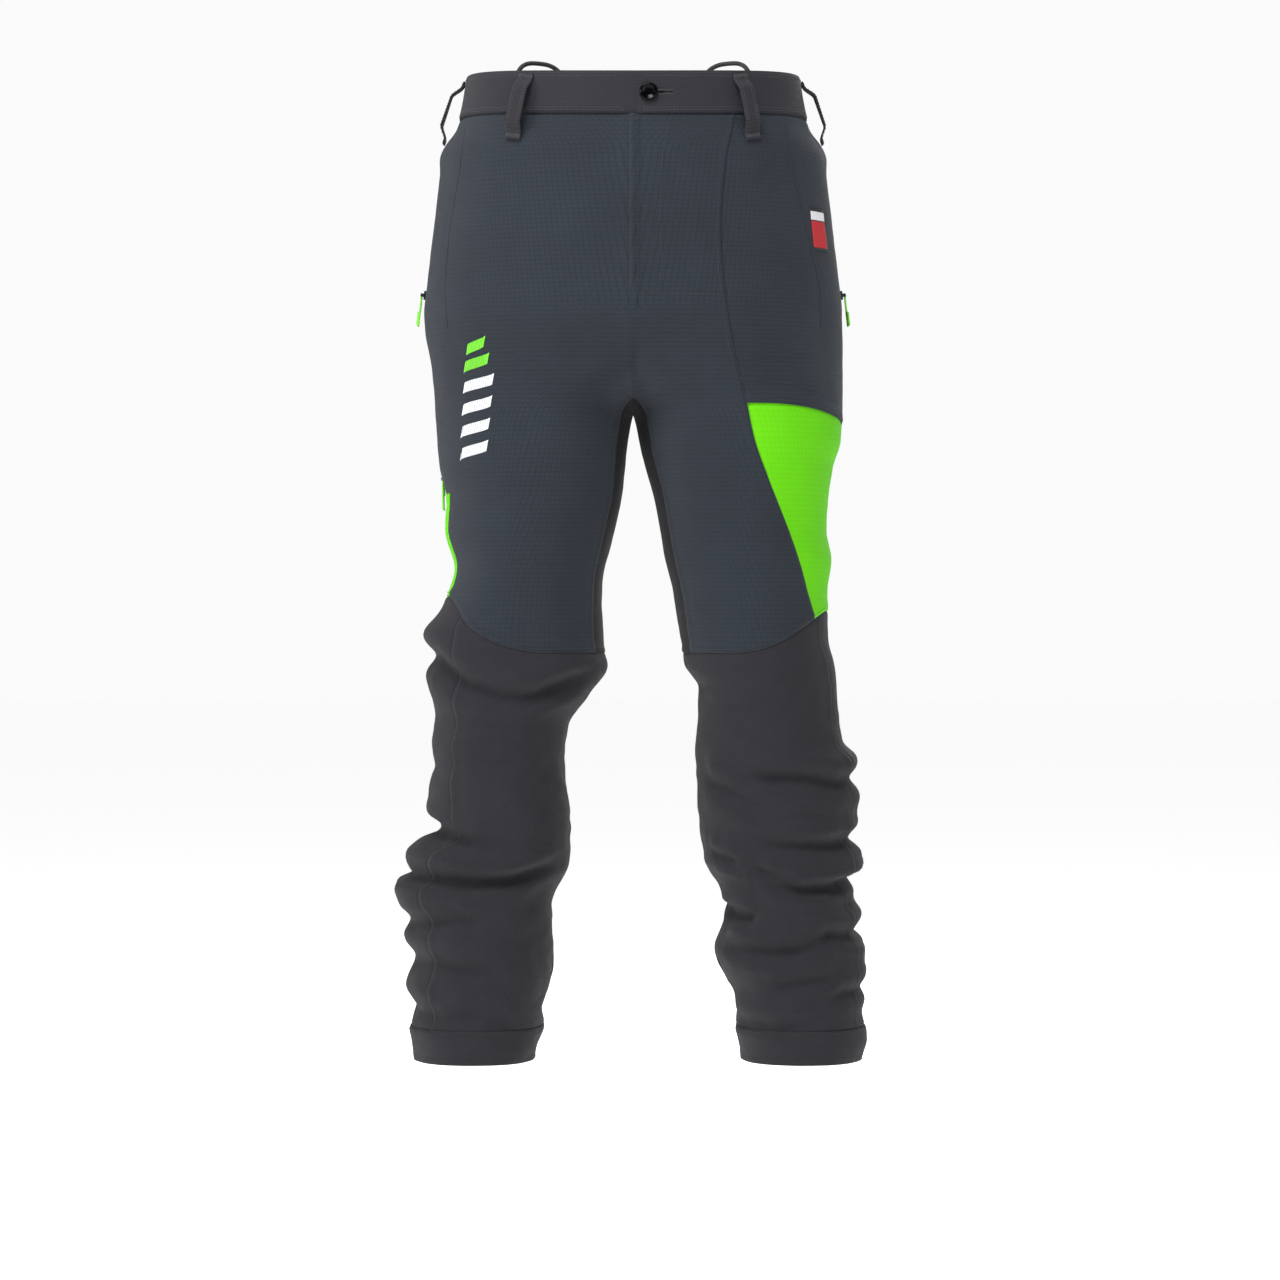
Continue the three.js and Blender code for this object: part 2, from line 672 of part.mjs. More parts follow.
// The waistband's right front end drops behind the left one just before the centre.
function addWaistband() {
  const band = {
    leg: LEFT,
    from: level(90),
    to: before(LEFT, level(SIDE_SEAM)),
    top: waistTop,
    bottom: waistBottom,
    outside: WAISTBAND_PROUD,
    thickness: WAISTBAND,
    across: 14,
    down: 2,
  };
  const out = outwardAt(LEFT, frontAngle(LEFT, BUTTON_X, -BUTTON_DROP), -BUTTON_DROP);
  const place = onSurface(LEFT, frontAngle(LEFT, BUTTON_X, -BUTTON_DROP), -BUTTON_DROP);
  const turn = new THREE.Quaternion().setFromUnitVectors(new THREE.Vector3(0, 1, 0), out);
  const atButton = (geometry) => geometry.applyQuaternion(turn).translate(...place);

  const shankHole = atButton(
    new THREE.CylinderGeometry(SHANK_RADIUS + SEATED, SHANK_RADIUS + SEATED, 4 * WAISTBAND, 16),
  );
  const slot = block(BUTTONHOLE, 4 * WAISTBAND, 2, place.x + BUTTONHOLE / 2, place.y, place.z);
  addPiece("waistband_front_left", cut(sheet(band), joined(shankHole, slot)), BAND);

  const rightEnd = sheet({ ...band, leg: RIGHT, from: after(RIGHT, level(90)) });
  const tuck = 3 * SEATED + WAISTBAND - WAISTBAND_PROUD; // depth of the underlap's outer face
  const underlapFrom = (z) => frontAngle(RIGHT, -UNDERLAP, z);
  const underlap = sheet({
    ...band,
    leg: RIGHT,
    from: underlapFrom,
    to: (z) => frontAngle(RIGHT, 14, z),
    outside: -tuck,
    thickness: SHELL,
    across: 4,
  });
  const riser = sheet({
    ...band,
    leg: RIGHT,
    from: (z) => frontAngle(RIGHT, 4, z),
    to: (z) => frontAngle(RIGHT, 12, z),
    outside: 0,
    thickness: tuck + SHELL / 2,
    across: 1,
  });
  const nailHole = atButton(
    new THREE.CylinderGeometry(NAIL_RADIUS + SEATED, NAIL_RADIUS + SEATED, 6 * WAISTBAND, 12),
  );
  addPiece("waistband_front_right", cut(joined(rightEnd, riser, underlap), nailHole), BAND);

  const back = sheet({
    ...band,
    from: after(LEFT, level(SIDE_SEAM)),
    to: before(LEFT, level(540 - SIDE_SEAM)),
    across: 18,
  });
  addPiece("waistband_back", back, BAND);

  // The button turns on the nail of its tack, which holds it to the underlap.
  const front = WAISTBAND_PROUD + SEATED;
  const rear = -tuck + SEATED;
  const bore = NAIL_RADIUS + SEATED;
  const profile = [
    [bore, rear],
    [SHANK_RADIUS, rear],
    [SHANK_RADIUS, front],
    [BUTTON_RADIUS - 0.8, front],
    [BUTTON_RADIUS, front + 1],
    [BUTTON_RADIUS, front + 2.4],
    [BUTTON_RADIUS - 1, front + BUTTON_HEAD],
    [BUTTON_RADIUS - 2.4, front + BUTTON_HEAD - 0.4],
    [BUTTON_RADIUS - 3.6, front + 2.2],
    [0, front + 2],
    [0, front + 1],
    [bore, front + 1],
    [bore, rear],
  ].map(([radius, height]) => new THREE.Vector2(radius, height));
  addPiece("waist_button", atButton(new THREE.LatheGeometry(profile, 20)), GLOSS);

  const behind = -tuck - SHELL - SEATED;
  const tackProfile = [
    [0, behind - TACK],
    [TACK_RADIUS, behind - TACK],
    [TACK_RADIUS, behind],
    [NAIL_RADIUS, behind],
    [NAIL_RADIUS, front + 1 - SEATED],
    [0, front + 1 - SEATED],
  ].map(([radius, height]) => new THREE.Vector2(radius, height));
  addPiece("button_tack", atButton(new THREE.LatheGeometry(tackProfile, 16)), METAL);
}

// A belt loop is a strap sewn down at its two ends, which stands off between them.
function addBeltLoop(name, leg, angle) {
  const topZ = waistTop(angle) - 3;
  const topFoot = over(leg, angle, topZ, WAISTBAND_PROUD + SEATED);
  const bottomFoot = over(leg, angle, topZ - LOOP_LENGTH, FOOT_LIFT);
  const up = topFoot.clone().sub(bottomFoot);
  const length = up.length();
  up.normalize();
  const outward = outwardAt(leg, angle, topZ - LOOP_LENGTH / 2);
  outward.addScaledVector(up, -outward.dot(up)).normalize();
  const raisedFrom = LOOP_FOOT + LOOP_SLOPE;
  const inside = [[0, 0], [LOOP_FOOT, 0], [raisedFrom, LOOP_STAND], [length - raisedFrom, LOOP_STAND]];
  inside.push([length - LOOP_FOOT, 0], [length, 0]);
  const outside = inside.map(([along, out]) => [along, out + LOOP_STRAP]).reverse();
  const outline = new THREE.Shape([...inside, ...outside].map(([x, y]) => new THREE.Vector2(x, y)));
  const strap = new THREE.ExtrudeGeometry(outline, { depth: LOOP_WIDTH, bevelEnabled: false });
  const piece = addPiece(name, strap.translate(0, 0, -LOOP_WIDTH / 2), BAND);
  const turn = new THREE.Matrix4().makeBasis(up, outward, up.clone().cross(outward));
  piece.position.copy(bottomFoot);
  piece.quaternion.setFromRotationMatrix(turn);
}

function addBeltLoops() {
  const loopZ = -WAISTBAND_HEIGHT / 2;
  for (const leg of [RIGHT, LEFT]) {
    const side = nameOf[leg];
    addBeltLoop(`belt_loop_front_${side}`, leg, frontAngle(leg, FRONT_LOOP_X, loopZ));
    addBeltLoop(`belt_loop_side_${side}`, leg, 180);
    addBeltLoop(`belt_loop_back_${side}`, leg, 360 - frontAngle(leg, BACK_LOOP_X, loopZ));
  }
  addBeltLoop("belt_loop_centre_back", LEFT, 270);
}

// A brace loop is a cord whose two ends are sewn behind the back of the waistband.
function addBraceLoop(leg) {
  const depth = WAISTBAND - WAISTBAND_PROUD + SEATED + CORD / 2;
  const at = (x, rise) => {
    const angle = 360 - frontAngle(leg, BRACE_LOOP_X + x, 0);
    return over(leg, angle, waistTop(angle) + rise, -depth);
  };
  const half = BRACE_LOOP_WIDTH / 2;
  const route = new THREE.CatmullRomCurve3([
    at(half, -BRACE_LOOP_TAIL),
    at(half, -4),
    at(half - 1, BRACE_LOOP_RISE * 0.5),
    at(half - 10, BRACE_LOOP_RISE),
    at(0, BRACE_LOOP_RISE),
    at(-half + 8, BRACE_LOOP_RISE * 0.8),
    at(-half + 1, BRACE_LOOP_RISE * 0.25),
    at(-half, -6),
    at(-half, -BRACE_LOOP_TAIL),
  ]);
  const ring = new THREE.Shape(new THREE.EllipseCurve(0, 0, CORD / 2, CORD / 2).getPoints(8).slice(0, 8));
  const cord = new THREE.ExtrudeGeometry(ring, { steps: 22, bevelEnabled: false, extrudePath: route });
  addPiece(`brace_loop_${nameOf[leg]}`, cord, BLACK);
}

// ---------------------------------------------------------------- fly

// The fly zip lies flat behind the centre seam, between the shell and the shield.
function addFly() {
  const centred = (x) => (z) => frontAngle(LEFT, x, z);
  const flyTop = lowered(waistBottom, 3);
  const flyBottom = level(-FLY_DROP + FLY_END);
  const strip = (fromX, toX, depth, thickness, top, bottom, across) =>
    sheet({
      leg: LEFT,
      from: centred(fromX),
      to: centred(toX),
      top,
      bottom,
      outside: -depth,
      thickness,
      across,
      down: 5,
    });
  const tapeDepth = SHELL + FLY_ROOM;
  const half = FLY_TEETH / 2;
  const teethDepth = tapeDepth - (TEETH - TAPE) / 2;
  const rightTape = strip(-half - FLY_TAPE, -half - SEATED, tapeDepth, TAPE, flyTop, flyBottom, 2);
  addPiece("fly_zip_tape_right", rightTape, BLACK);
  const leftTape = strip(half + SEATED, half + FLY_TAPE, tapeDepth, TAPE, flyTop, flyBottom, 2);
  addPiece("fly_zip_tape_left", leftTape, BLACK);
  addPiece("fly_zip_teeth", strip(-half, half, teethDepth, TEETH, flyTop, flyBottom, 2), METAL);
  const facing = sheet({
    leg: LEFT,
    from: centred(FACING_START),
    to: centred(FACING_END),
    top: panelTop,
    bottom: flyBottom,
    outside: -SHELL - 2 * SEATED,
    thickness: FLY_ROOM - 3 * SEATED,
    across: 3,
    down: 5,
  });
  addPiece("fly_facing", facing, SLATE);
  const shieldDepth = tapeDepth + TEETH;
  const shieldTop = lowered(waistBottom, 1);
  const shield = strip(SHIELD_START, SHIELD_END, shieldDepth, SHELL, shieldTop, level(-FLY_DROP), 4);
  addPiece("fly_shield", shield, MESH);

  const travel = { angle: 90, top: FLY_ZIP_TOP_DROP, bottom: FLY_DROP - FLY_TRAVEL_END };
  const run = zipRun(LEFT, travel, teethDepth - SEATED);
  const start = new THREE.Vector3(0, run.length, 0).applyMatrix4(run.turn).add(run.start);
  const plate = block(SLIDER_WIDTH, SLIDER_LENGTH, FLY_PLATE, 0, 0, FLY_PLATE / 2);
  const bailHeight = FLY_PULL + SEATED;
  const bail = block(2, BAIL_LENGTH, bailHeight + SEATED, 0, 0, FLY_PLATE + bailHeight / 2);
  const slider = addPiece("fly_zip_slider", joined(plate, bail), METAL);
  const pullY = -(BAIL_LENGTH + FLY_PULL_LENGTH) / 2 - SEATED;
  const pullZ = FLY_PLATE + SEATED + FLY_PULL / 2;
  const tab = block(PULL_WIDTH, FLY_PULL_LENGTH, FLY_PULL, 0, pullY, pullZ);
  const pull = addPiece("fly_zip_pull", tab, METAL);
  for (const piece of [slider, pull]) {
    piece.position.copy(start);
    piece.quaternion.setFromRotationMatrix(run.turn);
  }
}

// ---------------------------------------------------------------- left thigh's pocket and label

const THIGH_BAG_SEWN = 18; // above the lime panel's upper edge, where the pocket opens
const THIGH_BAG_HANG = 130;
const LABEL_TOP = -141;
const LABEL_HEIGHT = 41;
const LABEL_FROM = 149; // its edges, as angles
const LABEL_TO = 159;

function addLeftExtras() {
  const bag = {
    leg: LEFT,
    from: shifted(LEFT, leftThighSeam, 8),
    to: level(176),
    top: raised(leftLimeTop, THIGH_BAG_SEWN),
    bottom: level(-LIME_TOP_DROP - THIGH_BAG_HANG),
    outside: -BAG_DEPTH,
    across: 5,
    down: 7,
  };
  addPiece("thigh_pocket_bag_left", sheet(bag), MESH);
  const label = sheet({
    leg: LEFT,
    from: level(LABEL_FROM),
    to: level(LABEL_TO),
    top: level(LABEL_TOP),
    bottom: level(LABEL_TOP - LABEL_HEIGHT),
    outside: SEATED + LINING,
    thickness: LINING,
    across: 2,
    down: 3,
  });
  addPiece("side_label", label, RED);
}

for (const leg of [RIGHT, LEFT]) {
  addUpperPanels(leg);
  addLowerPanels(leg);
  addLayers(leg);
  addZip(leg, HAND_ZIP, "hand_pocket");
  addZip(leg, VENT_ZIP[leg], "vent");
  addBraceLoop(leg);
}
addWaistband();
addBeltLoops();
addFly();
addLeftExtras();

export default trousers;
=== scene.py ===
import json
import math

import bmesh
import bpy
import numpy as np
from mathutils import Matrix, Vector, noise


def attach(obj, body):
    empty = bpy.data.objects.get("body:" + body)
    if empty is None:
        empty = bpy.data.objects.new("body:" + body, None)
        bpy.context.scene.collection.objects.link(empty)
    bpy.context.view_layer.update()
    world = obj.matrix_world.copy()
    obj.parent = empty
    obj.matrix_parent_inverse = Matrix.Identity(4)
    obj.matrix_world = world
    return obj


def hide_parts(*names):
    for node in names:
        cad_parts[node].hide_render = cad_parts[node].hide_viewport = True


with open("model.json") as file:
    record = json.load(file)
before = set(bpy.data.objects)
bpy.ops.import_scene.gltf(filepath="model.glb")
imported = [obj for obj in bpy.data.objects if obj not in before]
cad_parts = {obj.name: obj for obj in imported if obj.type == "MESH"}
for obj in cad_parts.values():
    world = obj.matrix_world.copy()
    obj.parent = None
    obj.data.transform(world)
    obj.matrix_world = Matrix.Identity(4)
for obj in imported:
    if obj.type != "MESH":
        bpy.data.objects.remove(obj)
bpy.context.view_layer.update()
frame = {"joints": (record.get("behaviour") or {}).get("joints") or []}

MM = 0.001

# ------------------------------------------------------------------ camera, light and floor
# The trousers are seen square from the front, from half their height, so that neither the waist nor the
# hems are foreshortened. Wide, soft lights stand in front, above and behind, over a pale floor.

CAMERA_BACK = 3.5
CAMERA_RIGHT = 0.007
CAMERA_DROP = 0.5775
VIEW_WIDTH = 1.3184
FLOOR_DROP = 1.175
FLOOR_SIZE = 30
FLOOR_GLOW = 0.75
AIR_LIGHT = 0.22
AIR_SEEN = 0.96

camera = bpy.data.objects.new("camera", bpy.data.cameras.new("camera"))
camera.location = (CAMERA_RIGHT, -CAMERA_BACK, -CAMERA_DROP)
camera.rotation_euler = (math.pi / 2, 0, 0)
camera.data.sensor_width = 36
camera.data.lens = 36 * CAMERA_BACK / VIEW_WIDTH
bpy.context.collection.objects.link(camera)
bpy.context.scene.camera = camera


def add_light(name, place, size, power, aim=(0, 0, -0.5)):
    light = bpy.data.lights.new(name, "AREA")
    light.shape = "SQUARE"
    light.size = size
    light.energy = power
    lamp = bpy.data.objects.new(name, light)
    lamp.location = place
    lamp.rotation_euler = (Vector(aim) - Vector(place)).to_track_quat("-Z", "Y").to_euler()
    bpy.context.collection.objects.link(lamp)


add_light("front_above", (-0.4, -1.5, 1.9), 1.1, 70)
add_light("front_left", (-2.2, -1.1, 0.5), 1.0, 48)
add_light("front_right", (2.0, -1.8, -0.1), 1.6, 14)
add_light("behind", (0.9, 2.6, 0.9), 2.0, 60)

# The air looks almost white, and gives a dimmer light than it looks.
world = bpy.data.worlds.new("studio")
world.use_nodes = True
air = world.node_tree.nodes["Background"].inputs
air["Color"].default_value = (1, 1, 1, 1)
seen = world.node_tree.nodes.new("ShaderNodeLightPath")
glow = world.node_tree.nodes.new("ShaderNodeMapRange")
glow.inputs["To Min"].default_value = AIR_LIGHT
glow.inputs["To Max"].default_value = AIR_SEEN
world.node_tree.links.new(seen.outputs["Is Camera Ray"], glow.inputs["Value"])
world.node_tree.links.new(glow.outputs["Result"], air["Strength"])
bpy.context.scene.world = world
bpy.context.scene.view_settings.view_transform = "Standard"

floor_mesh = bpy.data.meshes.new("floor")
floor_bm = bmesh.new()
bmesh.ops.create_grid(floor_bm, x_segments=1, y_segments=1, size=FLOOR_SIZE)
bmesh.ops.translate(floor_bm, verts=floor_bm.verts, vec=(0, 0, -FLOOR_DROP))
floor_bm.to_mesh(floor_mesh)
floor_bm.free()
floor = bpy.data.objects.new("floor", floor_mesh)
bpy.context.collection.objects.link(floor)
floor_material = bpy.data.materials.new("floor")
floor_material.use_nodes = True
floor_shader = floor_material.node_tree.nodes["Principled BSDF"].inputs
floor_shader["Base Color"].default_value = (0.9, 0.9, 0.9, 1)
floor_shader["Roughness"].default_value = 0.7
floor_shader["Emission Color"].default_value = (1, 1, 1, 1)
floor_shader["Emission Strength"].default_value = FLOOR_GLOW
floor.data.materials.append(floor_material)

# ------------------------------------------------------------------ thigh and hip panels
# Each front is cut from slate ripstop, with a padded inside. The right thigh is one piece from the fly to
# the side seam; the left one has a curved seam from the belt loop down to the lime panel.

LEFT, RIGHT = 1, -1
SIDE = {LEFT: "left", RIGHT: "right"}
ROUNDNESS = 2.3
HEM_DROP = 1008
KNEE_SEAM_DROP = 590
KNEE_SEAM_RISE = {LEFT: 43, RIGHT: 58}
CROTCH_DROP = 345
WAISTBAND_HEIGHT = 43
FRONT_DIP = 9
BACK_RISE = 12
GUSSET_FRONT = 30
GUSSET_BACK = -38
SIDE_SEAM = 196
LIME_TOP_DROP = 340
LIME_BACK_SEAM = 232
RIGHT_LIME_TOP_DROP = 428
RIGHT_LIME_SEAM = 158
SHELL = 1.1


def curve_through(*points):
    """A smooth curve through (place, value) points that never overshoots them."""
    place, value = np.array(points, float).T
    steep = np.diff(value) / np.diff(place)
    slope = np.zeros(len(place))
    same = steep[:-1] * steep[1:] > 0
    total = np.where(same, steep[:-1] + steep[1:], 1)
    slope[1:-1] = np.where(same, 2 * steep[:-1] * steep[1:] / total, 0)

    def at(x):
        x = np.clip(x, place[0], place[-1])
        k = np.clip(np.searchsorted(place, x, side="right") - 1, 0, len(place) - 2)
        length = place[k + 1] - place[k]
        t = (x - place[k]) / length
        return (
            (2 * t**3 - 3 * t**2 + 1) * value[k]
            + (t**3 - 2 * t**2 + t) * length * slope[k]
            + (3 * t**2 - 2 * t**3) * value[k + 1]
            + (t**3 - t**2) * length * slope[k + 1]
        )

    return at


# The outline of each leg in mm, as (drop below the waist, distance from the centre plane).
HIPS = [(-40, 169), (0, 171), (53, 181), (85, 198), (104, 200), (223, 214), (242, 216)]
outer_edge = {
    RIGHT: curve_through(
        *HIPS, (308, 206), (356, 203), (402, 199), (433, 192), (464, 194), (503, 184), (541, 195), (572, 211),
        (603, 211), (665, 204), (743, 209), (773, 203), (789, 220), (812, 237), (835, 243), (858, 234),
        (881, 231), (943, 229), (985, 228), (1008, 226),
    ),
    LEFT: curve_through(
        *HIPS, (325, 216), (371, 214), (402, 205), (464, 199), (495, 204), (526, 200), (572, 200), (603, 207),
        (650, 211), (680, 215), (711, 230), (742, 231), (773, 227), (804, 232), (835, 225), (866, 232),
        (897, 238), (928, 238), (959, 235), (989, 241), (1008, 236),
    ),
}
crossing = [(drop, -half) for drop, half in HIPS]
inner_edge = {
    RIGHT: curve_through(
        *crossing, (293, -84), (345, 0), (371, 5), (433, 12), (464, 19), (526, 32), (588, 30), (603, 27),
        (634, 45), (665, 67), (690, 71), (773, 65), (804, 66), (850, 85), (870, 83), (912, 83), (959, 95),
        (974, 93), (1008, 101),
    ),
    LEFT: curve_through(
        *crossing, (293, -84), (345, 0), (387, 9), (433, 22), (495, 33), (526, 41), (588, 51), (603, 54),
        (626, 68), (695, 65), (773, 69), (804, 74), (850, 97), (866, 95), (897, 84), (943, 104), (974, 107),
        (1008, 110),
    ),
}
front_edge = curve_through(
    (-40, 106), (0, 108), (53, 112), (85, 115), (104, 115.4), (223, 117.6), (242, 118), (293, 114),
    (345, 105), (418, 98), (480, 92), (541, 88), (590, 84), (674, 74), (766, 66), (832, 61), (891, 60),
    (950, 62), (1008, 67),
)
back_edge = curve_through(
    (-40, 114), (0, 116), (53, 121), (85, 128), (104, 129), (223, 135), (242, 136), (293, 130),
    (345, 116), (418, 108), (480, 98), (541, 88), (590, 82), (674, 80), (766, 86), (832, 92), (891, 90),
    (950, 86), (1008, 84),
)


def unrounded(value):
    return np.sign(value) * np.abs(value) ** (ROUNDNESS / 2)


def rounded(value):
    return np.sign(value) * np.abs(value) ** (2 / ROUNDNESS)


def oval(leg, z):
    inner, outer = inner_edge[leg](-z), outer_edge[leg](-z)
    front, back = front_edge(-z), back_edge(-z)
    return (outer + inner) / 2, (outer - inner) / 2, (back - front) / 2, (back + front) / 2


def worn_shape(leg, angle, z):
    """A point of the smooth outside shape in mm. The angle is 0 inside, 90 in front and 180 outside."""
    middle_x, half_x, middle_y, half_y = oval(leg, z)
    turn = np.radians(angle)
    x = leg * (middle_x - half_x * rounded(np.cos(turn)))
    return np.stack([x, middle_y - half_y * rounded(np.sin(turn)), z + 0 * turn], -1)


def front_angle(leg, x, z):
    middle_x, half_x, _, _ = oval(leg, z)
    return np.degrees(np.arccos(unrounded(np.clip((middle_x - x) / half_x, -1, 1))))


def centre_angle(leg, z):
    middle_x, half_x, _, _ = oval(leg, z)
    return np.degrees(np.arccos(unrounded(np.clip(middle_x / half_x, 0, 1))))


def ease(x, low, high):
    t = np.clip((x - low) / (high - low), 0, 1)
    return t * t * (3 - 2 * t)


# Folds, as (points, depth, width, puff): each point is (distance from the centre plane, drop), or
# ("round", angle, drop) past the outer side, all in mm; the puff is how far the cloth swells beside the fold.
FOLDS = {
    RIGHT: [
        (
            [("round", 235, 585), (200, 598), (168, 624), (131, 636), (102, 635), (59, 619), (32, 604)],
            9, 11, 5,
        ),
        ([(207, 655), (160, 668), (96, 665)], 2.5, 14, 2),
        ([("round", 230, 700), (196, 712), (150, 700), (92, 706)], 2.5, 12, 2.5),
        ([("round", 225, 762), (200, 770), (168, 784), (130, 790)], 7, 9, 5),
        (
            [("round", 240, 806), (233, 818), (199, 820), (158, 824), (122, 822), (93, 812), (74, 805)],
            12, 9, 7,
        ),
        ([("round", 215, 866), (199, 868), (170, 862), (140, 866)], 4, 9, 4),
        ([("round", 225, 900), (199, 909), (153, 920), (118, 926)], 6, 13, 4),
        ([("round", 215, 950), (191, 962), (153, 961), (118, 978), (100, 984)], 5.5, 11, 4),
        ([(206, 935), (165, 941), (125, 952)], 2.5, 9, 2),
    ],
    LEFT: [
        ([(71, 720), (101, 735), (140, 753)], 6, 10, 4),
        ([(95, 721), (153, 717), (206, 723), ("round", 225, 716)], 7.5, 10, 5),
        ([(60, 640), (110, 652), (170, 644)], 2.5, 14, 2.5),
        ([(120, 784), (157, 786), (199, 785), ("round", 225, 777)], 7, 8, 5),
        ([(80, 796), (108, 804)], 4, 7, 3),
        ([(121, 807), (146, 817), (167, 822)], 4, 6, 3),
        ([(124, 818), (149, 830), (174, 831), (207, 828), ("round", 230, 815)], 9, 7, 6),
        ([(85, 852), (100, 857), (130, 861)], 8, 8, 5),
        ([(90, 893), (141, 895), (186, 893)], 6, 9, 4),
        ([(166, 890), (199, 878), (229, 879), ("round", 225, 868)], 7, 9, 5),
        ([(141, 932), (174, 923), (210, 923)], 4, 8, 3),
        ([(190, 946), (215, 937), (232, 935), ("round", 220, 930)], 5, 8, 4),
        ([(105, 965), (150, 972), (195, 966)], 4, 8, 3),
    ],
}
# Folds round the back of both legs, as angles and drops.
BACK_FOLDS = [
    ([(215, 352), (250, 372), (290, 366), (325, 350)], 5, 16, 3),
    ([(205, 560), (250, 574), (300, 566), (345, 580)], 7, 12, 5),
    ([(212, 604), (250, 616), (300, 612), (340, 622)], 9, 11, 6),
    ([(225, 652), (265, 645), (310, 656)], 5, 11, 4),
    ([(200, 712), (255, 726), (310, 716), (350, 728)], 5, 13, 4),
    ([(215, 778), (260, 768), (320, 782)], 7, 10, 5),
    ([(220, 838), (262, 850), (312, 838), (352, 846)], 9, 9, 6),
    ([(210, 893), (262, 884), (322, 898)], 8, 9, 6),
    ([(230, 938), (275, 948), (335, 936)], 6, 9, 5),
]

ANGLE_STEP = 1.5
ROW_STEP = 2.0
GRID_TOP = 40
angle_grid = np.arange(0, 360, ANGLE_STEP)
row_grid = GRID_TOP - ROW_STEP * np.arange(int((HEM_DROP + 4 + GRID_TOP) / ROW_STEP) + 1)


def around(leg, z):
    """How many mm of cloth one degree round the leg is, about."""
    _, half_x, _, half_y = oval(leg, z)
    return math.pi / 360 * (half_x + half_y)


def fold_push(leg, angles, rows, points, depth, width, puff):
    """How far each grid point moves outwards for one fold."""
    way = []
    for point in points:
        if point[0] == "round":
            way.append((point[1], -point[2]))
        else:
            way.append((float(front_angle(leg, point[0], -float(point[1]))), -float(point[1])))
    scale = around(leg, way[len(way) // 2][1])
    best = np.full(angles.shape, 1e9)
    side = np.zeros(angles.shape)
    along = np.zeros(angles.shape)
    lengths = [math.hypot((b[0] - a[0]) * scale, b[1] - a[1]) for a, b in zip(way, way[1:])]
    gone = 0
    for (a, b), length in zip(zip(way, way[1:]), lengths):
        ux, uz = (b[0] - a[0]) * scale / length, (b[1] - a[1]) / length
        px = ((angles - a[0] + 180) % 360 - 180) * scale
        pz = rows - a[1]
        t = px * ux + pz * uz
        clipped = np.clip(t, 0, length)
        distance = np.hypot(px - clipped * ux, pz - clipped * uz)
        nearer = distance < best
        best = np.where(nearer, distance, best)
        side = np.where(nearer, pz - clipped * uz, side)
        along = np.where(nearer, (gone + clipped) / sum(lengths), along)
        gone += length
    taper = np.clip(np.sin(math.pi * np.clip(along, 0.02, 0.98)) * 1.7, 0, 1)
    valley = -depth * np.exp(-((best / width) ** 2))
    upper = np.exp(-(((best - 1.9 * width) / (1.1 * width)) ** 2)) * (side > 0)
    lower = np.exp(-(((best - 1.7 * width) / (1.3 * width)) ** 2)) * (side <= 0)
    return taper * (valley + puff * upper + 0.6 * puff * lower)


def smooth_noise(points, size, seed):
    """Noise from -1 to 1 at points in mm, with features of the given size."""
    offset = Vector((seed * 13.7, seed * 7.1, seed * 3.3))
    return np.array([noise.noise(Vector(p) / size + offset) for p in points])


def make_leg_cloth(leg):
    angles, rows = np.meshgrid(angle_grid, row_grid)
    place = worn_shape(leg, angles, rows)
    push = np.zeros(angles.shape)
    for points, depth, width, puff in FOLDS[leg]:
        push += fold_push(leg, angles, rows, points, depth, width, puff)
    for points, depth, width, puff in BACK_FOLDS:
        shift = 6 * leg
        round_points = [("round", a + shift, d - 0.5 * shift) for a, d in points]
        push += fold_push(leg, angles, rows, round_points, depth, width, puff)
    # Fine unevenness: little on the taut hips, more down the loose shins, none at the waist and the hem.
    flat = place.reshape(-1, 3)
    slack = 0.5 + 1.6 * ease(-rows, 500, 780) - 0.9 * ease(-rows, 950, 1008)
    slack *= ease(-rows, 60, 200)
    stretched = flat * (1, 1, 1.6)
    push += slack * 1.1 * smooth_noise(stretched, 46, 1).reshape(push.shape)
    push += slack * 0.6 * smooth_noise(stretched, 21, 2).reshape(push.shape)
    normal = normals_of(place)
    return place + normal * push[..., None]


def normals_of(place):
    turn = np.roll(place, -1, 1) - np.roll(place, 1, 1)
    down = np.gradient(place, axis=0)
    across = np.cross(down, turn)
    outwards = place - place.mean(1, keepdims=True)
    across *= np.sign((across * outwards).sum(-1).mean())
    return across / np.linalg.norm(across, axis=-1, keepdims=True)


leg_cloth = {leg: make_leg_cloth(leg) for leg in (LEFT, RIGHT)}

# The cloth is drawn in to meet each zip where the zip really runs.
ZIPS = {
    ("hand_pocket", LEFT): (180, 105, 222),
    ("hand_pocket", RIGHT): (180, 105, 222),
    ("vent", LEFT): (224, LIME_TOP_DROP - 132, LIME_TOP_DROP - 58),
    ("vent", RIGHT): (208, RIGHT_LIME_TOP_DROP - 124, RIGHT_LIME_TOP_DROP - 19),
}
ZIP_REACH = 16
ZIP_SMOOTH = 16


